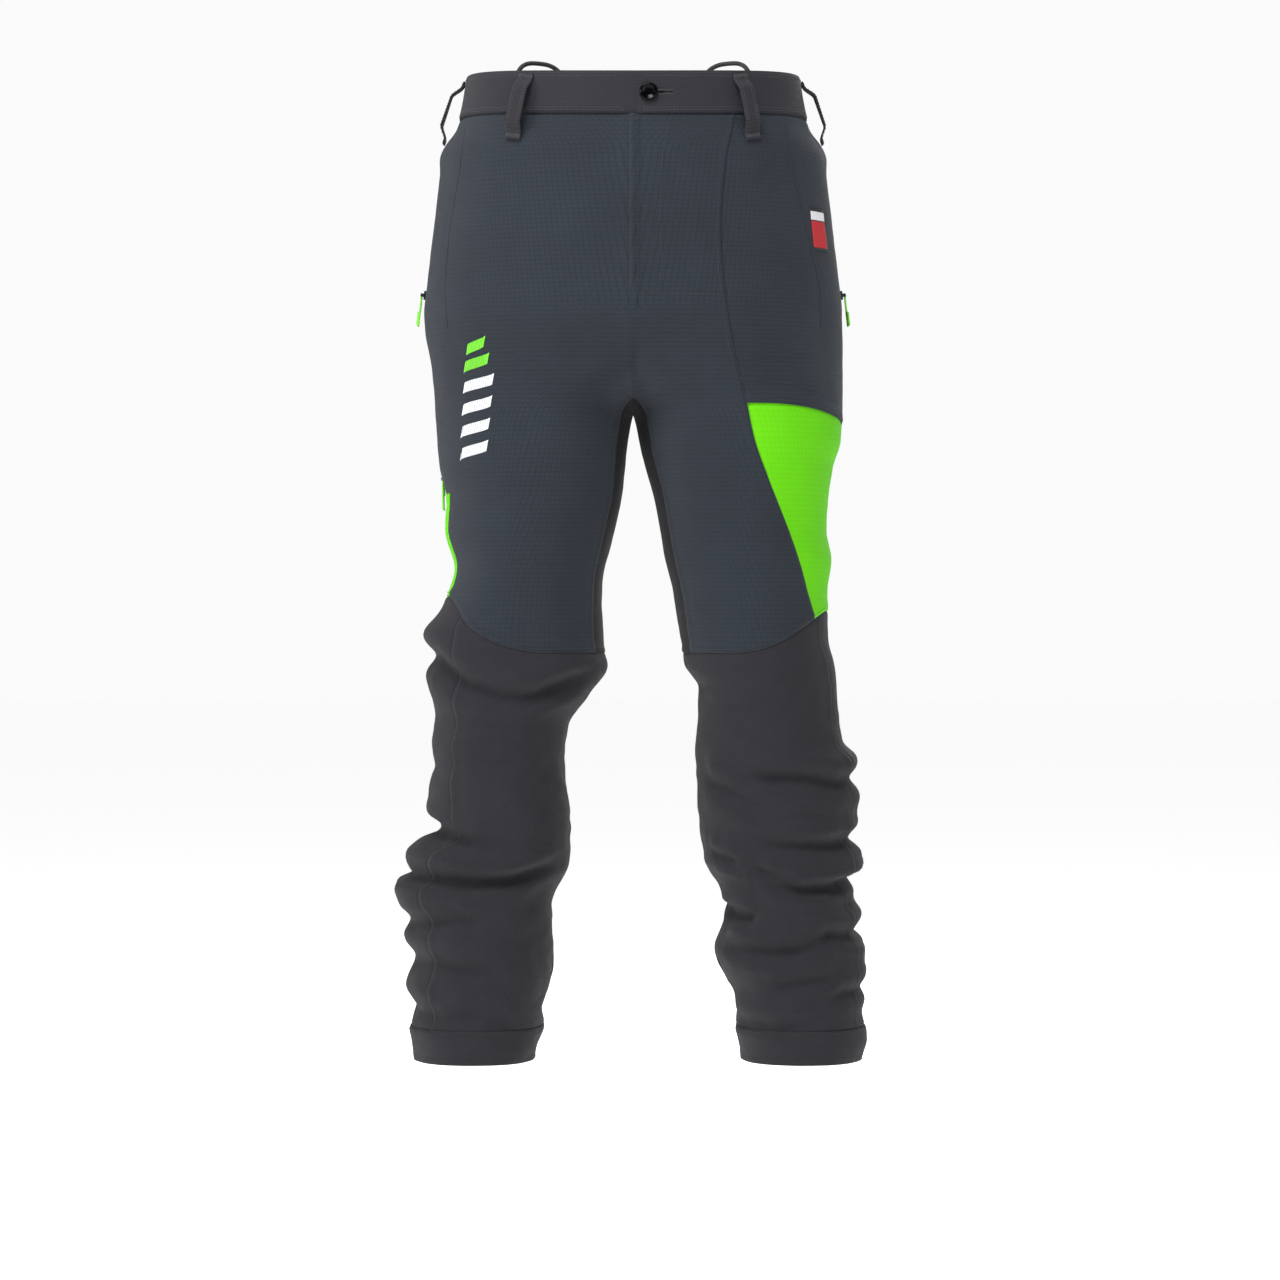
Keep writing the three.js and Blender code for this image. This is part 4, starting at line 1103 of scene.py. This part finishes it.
PAD = 4.5
PAD_DEPTH = 3.6
QUILT = 58
BAG_DEPTH = 2.0
BAG = 0.7
LINING_DEPTH = 17.5
PADDING = (0.62, 0.58, 0.46)
MESH = (0.055, 0.058, 0.062)
padding_cloth = cloth_material("padding", PADDING, light=1.15, pitch=2.4, rib=3.0, depth=0.6, sheen=0.1)
mesh_cloth = cloth_material("lining_mesh", MESH, light=1.6, pitch=1.8, rib=1.8, depth=0.8)


def lifted(amount):
    return lambda angle, *place: amount + 0 * angle


def quilted(_angle, _z, x, y, wide, tall):
    seam_x = np.abs((x + QUILT / 2) % QUILT - QUILT / 2)
    seam_y = np.abs((y + QUILT) % (2 * QUILT) - QUILT)
    edge = np.minimum(np.minimum(x, wide - x), np.minimum(y, tall - y))
    pull = np.exp(-((seam_x / 4) ** 2)) + np.exp(-((seam_y / 4) ** 2)) + np.exp(-((edge / 5) ** 2))
    return -PAD_DEPTH - 1.0 * np.clip(pull, 0, 1)


def pad_top(angle):
    return np.interp(angle, [70, 95, 125, 168], [5 - CROTCH_DROP, -268, -200, -170])


for leg in (LEFT, RIGHT):
    side = SIDE[leg]
    pad = lay_panel(
        f"pad_{side}",
        leg,
        shifted(leg, inner_front(leg), 12),
        level(168),
        pad_top,
        raised(hem_top, 30),
        quilted,
        step=5,
        thickness=PAD,
        cut=False,
    )
    dress(pad, padding_cloth, "padding", f"protective_pad_{side}")
    lining = lay_panel(
        f"lining_mesh_{side}",
        leg,
        lambda z, leg=leg: centre_angle(leg, z) + 1,
        lambda z, leg=leg: 359 - centre_angle(leg, z),
        raised(waist_bottom, -4),
        level(8 - HEM_DROP),
        lifted(-LINING_DEPTH),
        step=8,
        thickness=0.6,
        inner=True,
    )
    dress(lining, mesh_cloth, "lining_mesh", f"lining_{side}")
    bag = lay_panel(
        f"hand_bag_{side}",
        leg,
        level(128),
        level(192),
        level(-97),
        level(-244),
        lifted(-BAG_DEPTH),
        step=5,
        thickness=BAG,
    )
    dress(bag, mesh_cloth, "lining_mesh", f"hand_pocket_bag_{side}")
thigh_bag = lay_panel(
    "thigh_bag_left",
    LEFT,
    shifted(LEFT, left_thigh_seam, 8),
    level(176),
    raised(left_lime_top, 18),
    level(-LIME_TOP_DROP - 130),
    lifted(-BAG_DEPTH - 0.8),
    step=5,
    thickness=BAG,
)
dress(thigh_bag, mesh_cloth, "lining_mesh", "thigh_pocket_bag_left")

# ------------------------------------------------------------------ fly
# Behind the lapped front edge run a folded facing, the zip with its two tapes, and a shield that keeps the
# zip off the wearer. The facing and the shield are sewn in with the J-shaped row of stitches.

FLY_ROOM = 6.3
TAPE_DEPTH = SHELL + FLY_ROOM
tape_cloth = cloth_material("zip_tape", (0.012, 0.012, 0.014), pitch=0.9, rib=0.9, depth=0.5, sheen=0.1)


def at_x(x):
    return lambda z: front_angle(LEFT, x, z)


def fly_strip(name, start, end, depth, thickness, cloth, node_name, top=-3, bottom=4):
    """A strip behind the fly, between two distances from the centre plane."""
    strip = lay_panel(
        name,
        LEFT,
        at_x(start),
        at_x(end),
        raised(waist_bottom, top),
        level(bottom - FLY_DROP),
        lifted(-depth),
        thickness=thickness,
    )
    dress(strip, *cloth, node_name)


fly_strip("fly_tape_right", -17.7, -3, TAPE_DEPTH, 0.8, (tape_cloth, "zip_tape"), "fly_zip_tape_right")
fly_strip("fly_tape_left", 3, 17.7, TAPE_DEPTH, 0.8, (tape_cloth, "zip_tape"), "fly_zip_tape_left")
fly_strip("fly_guard", -24, 26, TAPE_DEPTH + 1.9, 1.1, (mesh_cloth, "lining_mesh"), "fly_shield", -1, 0)
fly_strip(
    "fly_fold", 7, 34, SHELL + 0.8, FLY_ROOM - 1.2, (slate_ripstop, "slate_ripstop"), "fly_facing", -1
)


def metal_material(name, colour, roughness):
    look = Look(name)
    grain = look.node("TexNoise", {"Vector": look.place(), "Scale": 700, "Detail": 3}).outputs["Fac"]
    look.colour(grain, scaled(colour, 0.6), scaled(colour, 1.4), 0.35, 0.7)
    rough = look.node("MapRange", {"Value": grain, "To Min": roughness * 0.7, "To Max": roughness * 1.4})
    look.feed(look.shader.inputs["Roughness"], rough.outputs["Result"])
    look.shader.inputs["Metallic"].default_value = 1.0
    return look.material


zip_metal = metal_material("zip_metal", (0.05, 0.05, 0.055), 0.3)
TOOTH = (1.3, 2.6, 1.5)
TOOTH_ASIDE = 0.825


def zip_teeth(name, leg, angles, heights, out, *nodes):
    """Two rows of coil teeth that mesh along the middle of a tape."""
    bm = bmesh.new()
    fine = np.linspace(0, 1, 400)
    place, normal = on_cloth(leg, np.interp(fine, [0, 1], angles), np.interp(fine, [0, 1], heights), out)
    gone = np.concatenate([[0], np.cumsum(np.linalg.norm(np.diff(place, axis=0), axis=1))])
    for k, mark in enumerate(np.arange(0.8, gone[-1], 1.0)):
        point = Vector([np.interp(mark, gone, place[:, i]) for i in range(3)])
        ahead = Vector([np.interp(mark + 1, gone, place[:, i]) for i in range(3)])
        up = Vector([np.interp(mark, gone, normal[:, i]) for i in range(3)]).normalized()
        way = (ahead - point).normalized() if mark < gone[-1] - 1 else way
        aside = up.cross(way).normalized() * (TOOTH_ASIDE * (-1) ** k)
        add_grain(bm, (point + aside) * MM, way, up, TOOTH)
    dress(make_piece(bm, name), zip_metal, "zip_metal", *nodes)


def make_metal(node_name):
    for material_slot in bpy.data.objects[node_name].material_slots:
        material_slot.material = zip_metal


zip_teeth("fly_teeth", LEFT, (90.0, 90.0), (-64, 4 - FLY_DROP), -TAPE_DEPTH + 0.6, "fly_zip_teeth")
for node_name in ("fly_zip_slider", "fly_zip_pull", "button_tack"):
    make_metal(node_name)

# ------------------------------------------------------------------ pocket and vent zips
# Each zip is let into a slot in its panel: a black tape with coil teeth, a dark metal slider, and a soft
# lime pull that hangs from it.

ZIP_HALF = 5.6
pull_look = Look("lime_pull")
pull_weave = pull_look.node("TexWave", {"Vector": pull_look.place(), "Scale": 600, "Distortion": 0.8})
pull_look.colour(pull_weave.outputs["Fac"], (0.11, 0.45, 0.002), (0.17, 0.68, 0.01))
pull_look.relief(pull_weave.outputs["Fac"], 0.4, 0.0003)
pull_look.shader.inputs["Roughness"].default_value = 0.5
joint_of = {joint["name"]: joint for joint in frame["joints"]}


def lathe(bm, ring, edges, steps):
    """Spins a profile once round the z axis."""
    bmesh.ops.spin(
        bm,
        geom=ring + edges,
        cent=(0, 0, 0),
        axis=(0, 0, 1),
        angle=2 * math.pi,
        steps=steps,
        use_merge=True,
    )


def pull_piece(kind, side):
    """A ribbed tab that hangs from the slider's pin, pinched where it meets the eye."""
    node_name = f"{kind}_pull_{side}"
    joint = joint_of[f"{kind}_pull_{side}_swing"]
    points = np.array([v.co for v in bpy.data.objects[node_name].data.vertices])
    axis = Vector(joint["axis"]).normalized()
    pin = Vector(joint["pos_m"])
    down = Vector(points.mean(0)) - pin
    down = (down - axis * down.dot(axis)).normalized()
    flat = down.cross(axis)
    length = float(((points - np.array(pin)) @ np.array(down)).max())
    bm = bmesh.new()
    bmesh.ops.create_cube(bm, size=1)
    bmesh.ops.scale(bm, vec=(5 * MM, length - 3 * MM, 1.8 * MM), verts=bm.verts)
    long_edges = [e for e in bm.edges if abs(e.verts[0].co.y - e.verts[1].co.y) > 2 * MM]
    bmesh.ops.subdivide_edges(bm, edges=long_edges, cuts=14, use_grid_fill=True)
    for vert in bm.verts:
        share = 0.5 - vert.co.y / (length - 3 * MM)
        pinch = 1 - 0.45 * math.exp(-((share / 0.09) ** 2))
        rib = 1 + (0.14 * math.cos(share * 14 * math.pi) if 0.35 < share < 0.95 else 0)
        vert.co.x *= pinch
        vert.co.z *= rib
    bmesh.ops.bevel(
        bm,
        geom=bm.edges,
        offset=0.35 * MM,
        segments=2,
        affect="EDGES",
        profile=0.5,
        material=-1,
        clamp_overlap=True,
    )
    bmesh.ops.translate(bm, vec=(0, -(length + 3 * MM) / 2 + 1.2 * MM, 0), verts=bm.verts)
    ring_start = len(bm.verts)
    ring = bmesh.ops.create_circle(bm, segments=10, radius=0.55 * MM)["verts"]
    bmesh.ops.translate(bm, vec=(1.65 * MM, 0, 0), verts=ring)
    ring_edges = [e for e in bm.edges if all(v in set(ring) for v in e.verts)]
    bmesh.ops.rotate(bm, cent=(0, 0, 0), matrix=Matrix.Rotation(math.pi / 2, 3, "X"), verts=ring)
    lathe(bm, ring, ring_edges, 20)
    eye = list(bm.verts)[ring_start:]
    bmesh.ops.rotate(bm, cent=(0, 0, 0), matrix=Matrix.Rotation(math.pi / 2, 3, "Y"), verts=eye)
    bmesh.ops.remove_doubles(bm, verts=bm.verts, dist=0.01 * MM)
    bmesh.ops.recalc_face_normals(bm, faces=bm.faces)
    turn = Matrix((axis, -down, axis.cross(-down))).transposed().to_4x4()
    bmesh.ops.transform(bm, matrix=Matrix.Translation(pin) @ turn, verts=bm.verts)
    tab = make_piece(bm, f"{kind}_tab_{side}", node_name)
    dress(tab, pull_look.material, "lime_pull", node_name)


for kind, leg in ZIPS:
    side = SIDE[leg]
    angle, zip_top, zip_bottom = ZIPS[kind, leg]
    tape = lay_panel(
        f"{kind}_tape_{side}",
        leg,
        shifted(leg, level(angle), -ZIP_HALF),
        shifted(leg, level(angle), ZIP_HALF),
        level(6 - zip_top),
        level(-6 - zip_bottom),
        lifted(-1.3),
        step=1.6,
        thickness=0.6,
    )
    dress(tape, tape_cloth, "zip_tape", f"{kind}_zip_{side}")
    zip_teeth(f"{kind}_teeth_{side}", leg, (angle, angle), (3 - zip_top, -3 - zip_bottom), -0.9)
    pull_piece(kind, side)
    make_metal(f"{kind}_slider_{side}")

# ------------------------------------------------------------------ belt loops
# Seven folded straps of the band cloth stand off the waistband, sewn down at both ends with bar tacks and
# topstitched along both edges.

LOOP_WIDTH = 16.5
LOOP_LENGTH = 67
LOOP_STRAP = 1.8
LOOP_STAND = 8.6
LOOP_FOOT = 6
FOOT_LIFT = 1.8
FRONT_LOOP_X = 107
BACK_LOOP_X = 96


def belt_loop(name, leg, angle, node_name):
    top_z = float(waist_top(angle)) - 3
    top_foot, _ = on_cloth(leg, angle, top_z, WAISTBAND_PROUD + 0.3)
    bottom_foot, _ = on_cloth(leg, angle, top_z - LOOP_LENGTH, FOOT_LIFT)
    _, outward = on_cloth(leg, angle, top_z - LOOP_LENGTH / 2)
    top_foot, bottom_foot = Vector(top_foot), Vector(bottom_foot)
    up = (top_foot - bottom_foot).normalized()
    length = (top_foot - bottom_foot).length
    outward = upright(Vector(outward), up)
    across = up.cross(outward)

    def strap_point(along, side, lift):
        sag = 0.35 * math.sin(3.1 * along / length + side * 0.2)
        stand = float(ease(along, LOOP_FOOT - 2, LOOP_FOOT + 13) * (1 - ease(along, length - 19, length - 4)))
        out = LOOP_STRAP + stand * (LOOP_STAND - 0.6 + sag) + lift
        return (bottom_foot + up * along + outward * out + across * side) * MM

    bm = bmesh.new()
    bmesh.ops.create_grid(bm, x_segments=12, y_segments=48, size=0.5, calc_uvs=True)
    uv_layer = bm.loops.layers.uv.verify()
    for face in bm.faces:
        for loop in face.loops:
            loop[uv_layer].uv = (loop.vert.co.x * LOOP_WIDTH * MM, loop.vert.co.y * length * MM)
    for vert in bm.verts:
        side = vert.co.x * LOOP_WIDTH
        rolled = -0.5 * max(0, abs(side) / (LOOP_WIDTH / 2) - 0.8) / 0.2
        vert.co = strap_point((vert.co.y + 0.5) * length, side, rolled)
    bm.normal_update()
    if bm.faces[:][0].normal.dot(outward) < 0:
        bmesh.ops.reverse_faces(bm, faces=bm.faces)
    strap = make_piece(bm, name)
    thicken(strap, LOOP_STRAP)
    rim = strap.modifiers.new("rim", "BEVEL")
    rim.width = 0.4 * MM
    rim.segments = 2
    rim.limit_method = "ANGLE"
    declare_cut(LOOP_WIDTH, length)
    dress(strap, band_cloth, "band_cloth", node_name)
    for side in (-6.6, -4.4, 4.4, 6.6):
        for along in np.arange(2, length - 1, STITCH_PITCH):
            loop_stitches.append((strap_point(along, side, 0.1), up, outward))
    for along in (2.6, 3.4, 4.2, length - 4.2, length - 3.4, length - 2.6):
        for side in np.arange(-7.2, 7.3, 0.9):
            loop_stitches.append((strap_point(along, side, 0.15), up, outward))


loop_stitches = []
for leg in (LEFT, RIGHT):
    side = SIDE[leg]
    angles = {
        "front": float(front_angle(leg, FRONT_LOOP_X, -WAISTBAND_HEIGHT / 2)),
        "side": 180.0,
        "back": 360 - float(front_angle(leg, BACK_LOOP_X, -WAISTBAND_HEIGHT / 2)),
    }
    for place, angle in angles.items():
        belt_loop(f"loop_{place}_{side}", leg, angle, f"belt_loop_{place}_{side}")
belt_loop("loop_back_centre", LEFT, 270.0, "belt_loop_centre_back")

bm = bmesh.new()
for place, way, up in loop_stitches:
    add_grain(bm, place, way, up, (STITCH, THREAD, THREAD * 0.8))
dress(make_piece(bm, "stitches_loops"), grey_thread, "band_cloth")

# ------------------------------------------------------------------ brace loops
# Two loops of round black braided cord are sewn behind the back of the waistband, to take the braces.
# Each cord is bent to an arch, and its two ends run down inside the band.

CORD = 4.8
BRACE_LOOP_X = 101
cord_look = Look("brace_cord")
braids = []
for lean in (0.75, -0.75):
    aim = cord_look.node("Mapping", {"Vector": cord_look.place(), "Rotation": (0.4, lean, 0.3)})
    wave = cord_look.node("TexWave", {"Vector": aim.outputs["Vector"], "Scale": 260})
    braids.append(wave.outputs["Fac"])
braid = cord_look.maths("MAXIMUM", *braids)
cord_look.colour(braid, (0.004, 0.004, 0.005), (0.024, 0.024, 0.028))
cord_look.relief(braid, 0.7, 0.0005)
cord_look.shader.inputs["Roughness"].default_value = 0.6
CORD_DEPTH = WAISTBAND - WAISTBAND_PROUD + 0.3 + CORD / 2
for leg in (LEFT, RIGHT):
    curve = bpy.data.curves.new(f"brace_cord_{SIDE[leg]}", "CURVE")
    curve.dimensions = "3D"
    curve.bevel_depth = CORD / 2 * MM
    curve.bevel_resolution = 5
    curve.use_fill_caps = True
    spline = curve.splines.new("NURBS")
    route = [(27, -20), (27, -12), (27, -4), (26.5, 8), (22, 20), (14, 24.5), (2, 24), (-10, 22), (-20, 16)]
    route += [(-26, 6), (-27, -4), (-27, -12), (-27, -20)]
    spline.points.add(len(route) - 1)
    for point, (x, rise) in zip(spline.points, route):
        angle = 360 - float(front_angle(leg, BRACE_LOOP_X + x, 0))
        place, _ = on_cloth(leg, angle, float(waist_top(angle)) + rise, -CORD_DEPTH)
        point.co = (*(place * MM), 1)
    spline.use_endpoint_u = True
    spline.order_u = 3
    spline.resolution_u = 10
    tube = bpy.data.objects.new("tube", curve)
    bpy.context.collection.objects.link(tube)
    loop_mesh = bpy.data.meshes.new_from_object(tube.evaluated_get(bpy.context.evaluated_depsgraph_get()))
    bpy.data.objects.remove(tube)
    loop_mesh.shade_smooth()
    loop = bpy.data.objects.new(f"brace_cord_{SIDE[leg]}", loop_mesh)
    bpy.context.collection.objects.link(loop)
    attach(loop, "trousers")
    loop.data.materials.clear()
    dress(loop, cord_look.material, "brace_cord", f"brace_loop_{SIDE[leg]}")

# ------------------------------------------------------------------ waist button
# A glossy black metal jeans button with a raised rim is pressed onto its tack, and turns on it. Close
# stitches of dark thread bind the slit that it goes through.

button_gloss = metal_material("button_gloss", (0.012, 0.012, 0.014), 0.16)
button_joint = joint_of["waist_button_turn"]
button_axis = Vector(button_joint["axis"]).normalized()
if button_axis.y > 0:
    button_axis = -button_axis
on_band, _ = on_cloth(LEFT, front_angle(LEFT, BUTTON_X, -BUTTON_DROP), -BUTTON_DROP, WAISTBAND_PROUD + 0.35)
profile = [(0, 1.9), (2.4, 1.95), (4.6, 2.2), (5.8, 2.9), (7.0, 3.5), (8.0, 3.55), (8.8, 3.0), (9.25, 2.2)]
profile += [(9.3, 1.3), (9.0, 0.5), (8.3, 0.05), (3.2, 0), (3.2, -3.6), (1.7, -3.6), (1.7, 0.9), (0, 0.9)]
bm = bmesh.new()
ring = [bm.verts.new((radius * MM, 0, height * MM)) for radius, height in profile]
rim_edges = [bm.edges.new(pair) for pair in zip(ring, ring[1:])]
lathe(bm, ring, rim_edges, 64)
bmesh.ops.remove_doubles(bm, verts=bm.verts, dist=0.001 * MM)
bmesh.ops.recalc_face_normals(bm, faces=bm.faces)
turn = Vector((0, 0, 1)).rotation_difference(button_axis).to_matrix().to_4x4()
pin_point = Vector(button_joint["pos_m"])
pin_point += button_axis * (Vector(on_band) * MM - pin_point).dot(button_axis)
bmesh.ops.transform(bm, matrix=Matrix.Translation(pin_point) @ turn, verts=bm.verts)
dress(make_piece(bm, "jeans_button", "waist_button"), button_gloss, "button_gloss", "waist_button")

bm = bmesh.new()
for mark in np.arange(0, 2 * BUTTONHOLE, 0.62):
    along = mark if mark < BUTTONHOLE else 2 * BUTTONHOLE - mark
    z = -BUTTON_DROP + (1.9 if mark < BUTTONHOLE else -1.9)
    angle = front_angle(LEFT, BUTTON_X + 8.6 + along * 0.66, z)
    place, up = on_cloth(LEFT, angle, z, WAISTBAND_PROUD + 0.05)
    up = Vector(up)
    add_grain(bm, Vector(place) * MM, upright(Vector((0, 0, 1)), up), up, (2.6, 0.6, 0.7))
dress(make_piece(bm, "stitches_buttonhole"), dark_thread, "band_cloth")

# ------------------------------------------------------------------ label, welt lines and embroidery
# A small woven label is sewn to the left hip. Flat piped lines cross the hip above the thigh pocket, and
# a plain motif of slanted bars is embroidered on the right thigh.

LABEL_TOP = -141
LABEL_BOTTOM = -182
BLACK_YARN = (0.012, 0.012, 0.014)
label_look = Look("red_label")
label_place = label_look.place()
label_share = label_look.node(
    "MapRange",
    {
        "Value": label_look.node("SeparateXYZ", {0: label_place}).outputs["Z"],
        "From Min": LABEL_BOTTOM * MM,
        "From Max": LABEL_TOP * MM,
    },
)
bands = label_look.node("ValToRGB", {"Fac": label_share.outputs["Result"]})
bands.color_ramp.interpolation = "CONSTANT"
bands.color_ramp.elements[0].color = (*BLACK_YARN, 1)
bands.color_ramp.elements[1].position = 0.05
bands.color_ramp.elements[1].color = (0.46, 0.016, 0.022, 1)
for position, colour in ((0.7, BLACK_YARN), (0.73, (0.72, 0.72, 0.76)), (0.94, BLACK_YARN)):
    bands.color_ramp.elements.new(position).color = (*colour, 1)
yarn = label_look.node("TexNoise", {"Vector": label_place, "Scale": 1500}).outputs["Fac"]
worn = {"Factor": 0.35, "A": bands.outputs["Color"], "B": yarn}
blend = label_look.node("Mix", worn, data_type="RGBA", blend_type="MULTIPLY")
label_look.feed(label_look.shader.inputs["Base Color"], blend.outputs["Result"])
label_look.relief(yarn, 0.4, 0.0003)
label_look.shader.inputs["Roughness"].default_value = 0.6
label = lay_panel(
    "woven_label",
    LEFT,
    level(149),
    level(159),
    level(LABEL_TOP),
    level(LABEL_BOTTOM),
    lifted(1.0),
    step=1.5,
    thickness=0.7,
)
dress(label, label_look.material, "red_label", "side_label")


def lay_cord(name, leg, points, width, rise):
    """A narrow raised line of cloth through (distance from the centre plane, drop) points."""
    xs, drops = np.array(points, float).T
    share = np.linspace(0, 1, 80)
    marks = np.linspace(0, 1, len(xs))
    x, z = np.interp(share, marks, xs), -np.interp(share, marks, drops)
    middle, normal = on_cloth(leg, front_angle(leg, x, z), z)
    way = np.gradient(middle, axis=0)
    way /= np.linalg.norm(way, axis=1, keepdims=True)
    across = np.cross(normal, way)
    bm = bmesh.new()
    bmesh.ops.create_grid(bm, x_segments=len(share) - 1, y_segments=6, size=0.5, calc_uvs=True)
    uv_layer = bm.loops.layers.uv.verify()
    for vert in bm.verts:
        k = int(round((vert.co.x + 0.5) * (len(share) - 1)))
        side = vert.co.y * 2
        out = rise * (1 - side**2) - 0.25
        vert.co = Vector((middle[k] + across[k] * side * width / 2 + normal[k] * out) * MM)
    for face in bm.faces:
        for loop in face.loops:
            loop[uv_layer].uv = (loop.vert.co.x, loop.vert.co.z)
    bm.normal_update()
    if bm.faces[:][0].normal.dot(Vector(normal[0])) < 0:
        bmesh.ops.reverse_faces(bm, faces=bm.faces)
    piping = make_piece(bm, name)
    thicken(piping, 0.5)
    dress(piping, slate_ripstop, "slate_ripstop")


welt = [(107, 317), (130, 318), (158, 321), (188, 328)]
lay_cord("hip_welt", LEFT, welt, 3.4, 1.0)
lay_cord("pocket_edge_left", LEFT, POCKET_SEAM[LEFT], 2.2, 0.8)
lay_cord("pocket_edge_right", RIGHT, POCKET_SEAM[RIGHT], 2.2, 0.8)
tuck_rows = [by_distance(LEFT, [(111, 297), (150, 291), (184, 283)][::-1], 0.15)]
tuck_rows.append(by_distance(LEFT, [(113, 302), (150, 296), (186, 287)][::-1], 0.15))
tuck_rows.append(by_distance(LEFT, [(4, 230.5), (50, 232), (86, 233)], 0.1))
sew("stitches_hip", tuck_rows, dark_thread, "slate_ripstop")

SATIN = 3.6
SATIN_PITCH = 2.8
SATIN_ROWS = 20
SATIN_STEP = 0.55
SATIN_SLANT = 9
EMBROIDERY = {
    "white": ((0.78, 0.80, 0.82), [(171, 141, 330), (172, 143, 352), (173, 145, 374), (174, 147, 396)]),
    "lime": ((0.16, 0.66, 0.006), [(168, 150, 292), (170, 146, 309)]),
}
for tint, (colour, bars) in EMBROIDERY.items():
    thread = thread_material(f"{tint}_embroidery", colour)
    rows = []
    for outer, inner, drop in bars:
        for k in range(SATIN_ROWS):
            lift = k * SATIN_STEP
            start, end = (inner - 0.1 * k, drop - lift - SATIN_SLANT), (outer - 0.1 * k, drop - lift)
            rows.append(by_distance(RIGHT, [start, end], 0.35))
    sew(f"embroidery_{tint}", rows, thread, "slate_ripstop", SATIN, SATIN_PITCH)

bpy.context.view_layer.update()
